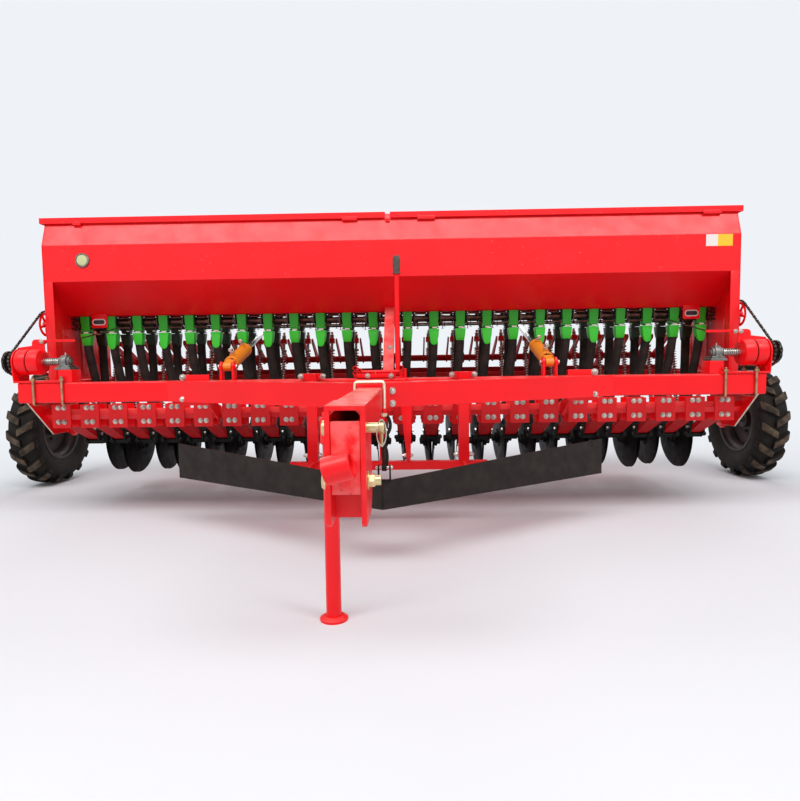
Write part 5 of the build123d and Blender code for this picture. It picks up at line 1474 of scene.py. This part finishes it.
class DRILL_OT_opener_fittings(bpy.types.Operator):
    """Put the moulded knobs and arm pins on the openers"""

    bl_idname = "drill.opener_fittings"
    bl_label = "Opener knobs and pins"

    def execute(self, context):
        single = bmesh.new()
        y, z = 512, 366
        dome = [(0, 42.5), (13, 42.5), (13, 52), (11, 58), (6, 61.5), (0, 62)]
        rod(single, (-50, y, z), (50, y, z), 7, 10, 0)
        for out in (-1, 1):
            lathe(single, dome, at(0, y, z, (out, 0, 0)), 16, 0)
            hexagon(single, at(out * 42.5, y, z + 38, (out, 0, 0)), 17, 8, 1)
        shape = bmesh.new()
        stamp(shape, keep(single), [Matrix.Translation((x, 0, 0)) for x in ROW_XS])
        finish_piece("opener_knobs", shape, ("black", "zinc"), "openers")
        return {"FINISHED"}


class DRILL_OT_stage(bpy.types.Operator):
    """Set the floor, the light and the camera"""

    bl_idname = "drill.stage"
    bl_label = "Stage, light and camera"

    def camera(self, context):
        """The photograph's viewpoint: nearly level, a little left of straight on."""
        yaw, pitch, roll = radians(1.1), radians(4.1), radians(0.81)
        focal_pixels, photo_pixels = 600.0, 801.0
        right = Vector((cos(yaw), sin(yaw), 0))
        ahead = Vector((-sin(yaw) * cos(pitch), cos(yaw) * cos(pitch), -sin(pitch)))
        up = right.cross(ahead)
        rolled_right = right * cos(roll) - up * sin(roll)
        rolled_up = right * sin(roll) + up * cos(roll)
        turn = Matrix((rolled_right, rolled_up, -ahead)).transposed().to_4x4()
        data = bpy.data.cameras.new("photo_view")
        data.sensor_width = 36.0
        data.lens = focal_pixels * data.sensor_width / photo_pixels
        data.clip_end = 200.0
        camera = bpy.data.objects.new("photo_view", data)
        camera.matrix_world = Matrix.Translation((0.115, -2.91, 0.821)) @ turn
        context.scene.collection.objects.link(camera)
        context.scene.camera = camera

    def world(self, context):
        """An even pale sky; seen directly or in a reflection it is the backdrop."""
        colour = context.scene.drill_colours.backdrop
        world = bpy.data.worlds.new("pale_studio")
        context.scene.world = world
        world.use_nodes = True
        tree = world.node_tree
        tree.nodes.clear()
        light = add(tree, "ShaderNodeBackground", {"Color": (1.0, 1.0, 1.0, 1.0), "Strength": 0.48})
        seen = add(tree, "ShaderNodeBackground", {"Color": (*colour, 1.0), "Strength": 1.0})
        path = add(tree, "ShaderNodeLightPath")
        direct = path.outputs["Is Camera Ray"]
        for ray in ("Is Glossy Ray", "Is Transmission Ray"):
            direct = add(tree, "ShaderNodeMath", {0: direct, 1: path.outputs[ray]}, operation="MAXIMUM").outputs[0]
        mix = add(tree, "ShaderNodeMixShader", {"Fac": direct, 1: light.outputs[0], 2: seen.outputs[0]})
        add(tree, "ShaderNodeOutputWorld", {"Surface": mix.outputs[0]})

    def floor(self, context):
        """A pale floor that keeps the shadow near the drill and fades into the backdrop."""
        colour = context.scene.drill_colours.backdrop
        material, tree, shader, place = begin("painted_studio_floor", 0.9, Specular_IOR_Level=0.0)
        paint = [c * 0.87 for c in colour]
        tone = blend_colours(tree, grain(tree, place, 900, 0.4, 0.7), paint, [c * 0.985 for c in paint])
        tree.links.new(tone, shader.inputs["Base Color"])
        distance = add(tree, "ShaderNodeVectorMath", {0: place}, operation="LENGTH").outputs["Value"]
        reach = {"Value": distance, "From Min": 2.6, "From Max": 6.0}
        fade = add(tree, "ShaderNodeMapRange", reach, interpolation_type="SMOOTHSTEP")
        glow = add(tree, "ShaderNodeEmission", {"Color": (*colour, 1.0), "Strength": 1.0})
        mix = add(tree, "ShaderNodeMixShader", {"Fac": fade.outputs[0], 1: shader.outputs[0], 2: glow.outputs[0]})
        output = [n for n in tree.nodes if n.type == "OUTPUT_MATERIAL"][0]
        tree.links.new(mix.outputs[0], output.inputs["Surface"])
        shape = bmesh.new()
        bmesh.ops.create_grid(shape, x_segments=1, y_segments=1, size=60.0)
        mesh = bpy.data.meshes.new("studio_floor")
        shape.to_mesh(mesh)
        shape.free()
        mesh.materials.append(material)
        floor = bpy.data.objects.new("studio_floor", mesh)
        context.scene.collection.objects.link(floor)

    def softbox(self, context, name, spot, aim, width, height, power):
        """A soft lamp aimed at a point."""
        data = bpy.data.lights.new(name, "AREA")
        data.shape = "RECTANGLE"
        data.size, data.size_y = width, height
        data.energy = power
        lamp = bpy.data.objects.new(name, data)
        turn = (Vector(aim) - Vector(spot)).to_track_quat("-Z", "Y").to_matrix().to_4x4()
        lamp.matrix_world = Matrix.Translation(spot) @ turn
        context.scene.collection.objects.link(lamp)

    def execute(self, context):
        context.scene.view_settings.view_transform = "Standard"
        self.camera(context)
        self.world(context)
        self.floor(context)
        self.softbox(context, "sky_softbox", (0.0, -4.4, 7.1), (0, 0.4, 0.9), 14.0, 3.0, 720)
        self.softbox(context, "rear_softbox", (0.0, 6.0, 5.5), (0, 0.6, 0.8), 9.0, 3.0, 220)
        return {"FINISHED"}


class DRILL_PT_looks(bpy.types.Panel):
    """The drill's pieces and their settings"""

    bl_label = "Seed drill"
    bl_idname = "DRILL_PT_looks"
    bl_space_type = "VIEW_3D"
    bl_region_type = "UI"
    bl_category = "Seed drill"

    def draw(self, context):
        column = self.layout.column()
        for group in (context.scene.drill_colours, context.scene.drill_sizes):
            for key in group.bl_rna.properties.keys():
                if key not in {"rna_type", "name"}:
                    column.prop(group, key)
        for operator in OPERATORS:
            column.operator(operator.bl_idname)


GROUPS = (DrillColours, DrillSizes)
OPERATORS = (
    DRILL_OT_finishes,
    DRILL_OT_tyres,
    DRILL_OT_rims,
    DRILL_OT_clamp_bolts,
    DRILL_OT_cups,
    DRILL_OT_metering,
    DRILL_OT_hoses,
    DRILL_OT_discs,
    DRILL_OT_pressure_rods,
    DRILL_OT_drives,
    DRILL_OT_chains,
    DRILL_OT_hitch,
    DRILL_OT_beam_bolts,
    DRILL_OT_fittings,
    DRILL_OT_hopper_trim,
    DRILL_OT_cylinder_fittings,
    DRILL_OT_opener_fittings,
    DRILL_OT_stage,
)


def register():
    for group in GROUPS + OPERATORS + (DRILL_PT_looks,):
        bpy.utils.register_class(group)
    bpy.types.Scene.drill_colours = bpy.props.PointerProperty(type=DrillColours)
    bpy.types.Scene.drill_sizes = bpy.props.PointerProperty(type=DrillSizes)


def unregister():
    del bpy.types.Scene.drill_colours
    del bpy.types.Scene.drill_sizes
    for group in reversed(GROUPS + OPERATORS + (DRILL_PT_looks,)):
        bpy.utils.unregister_class(group)


def main():
    """Dress the drill."""
    register()
    for operator in OPERATORS:
        getattr(bpy.ops.drill, operator.bl_idname.split(".")[1])()


if __name__ == "__main__":
    main()
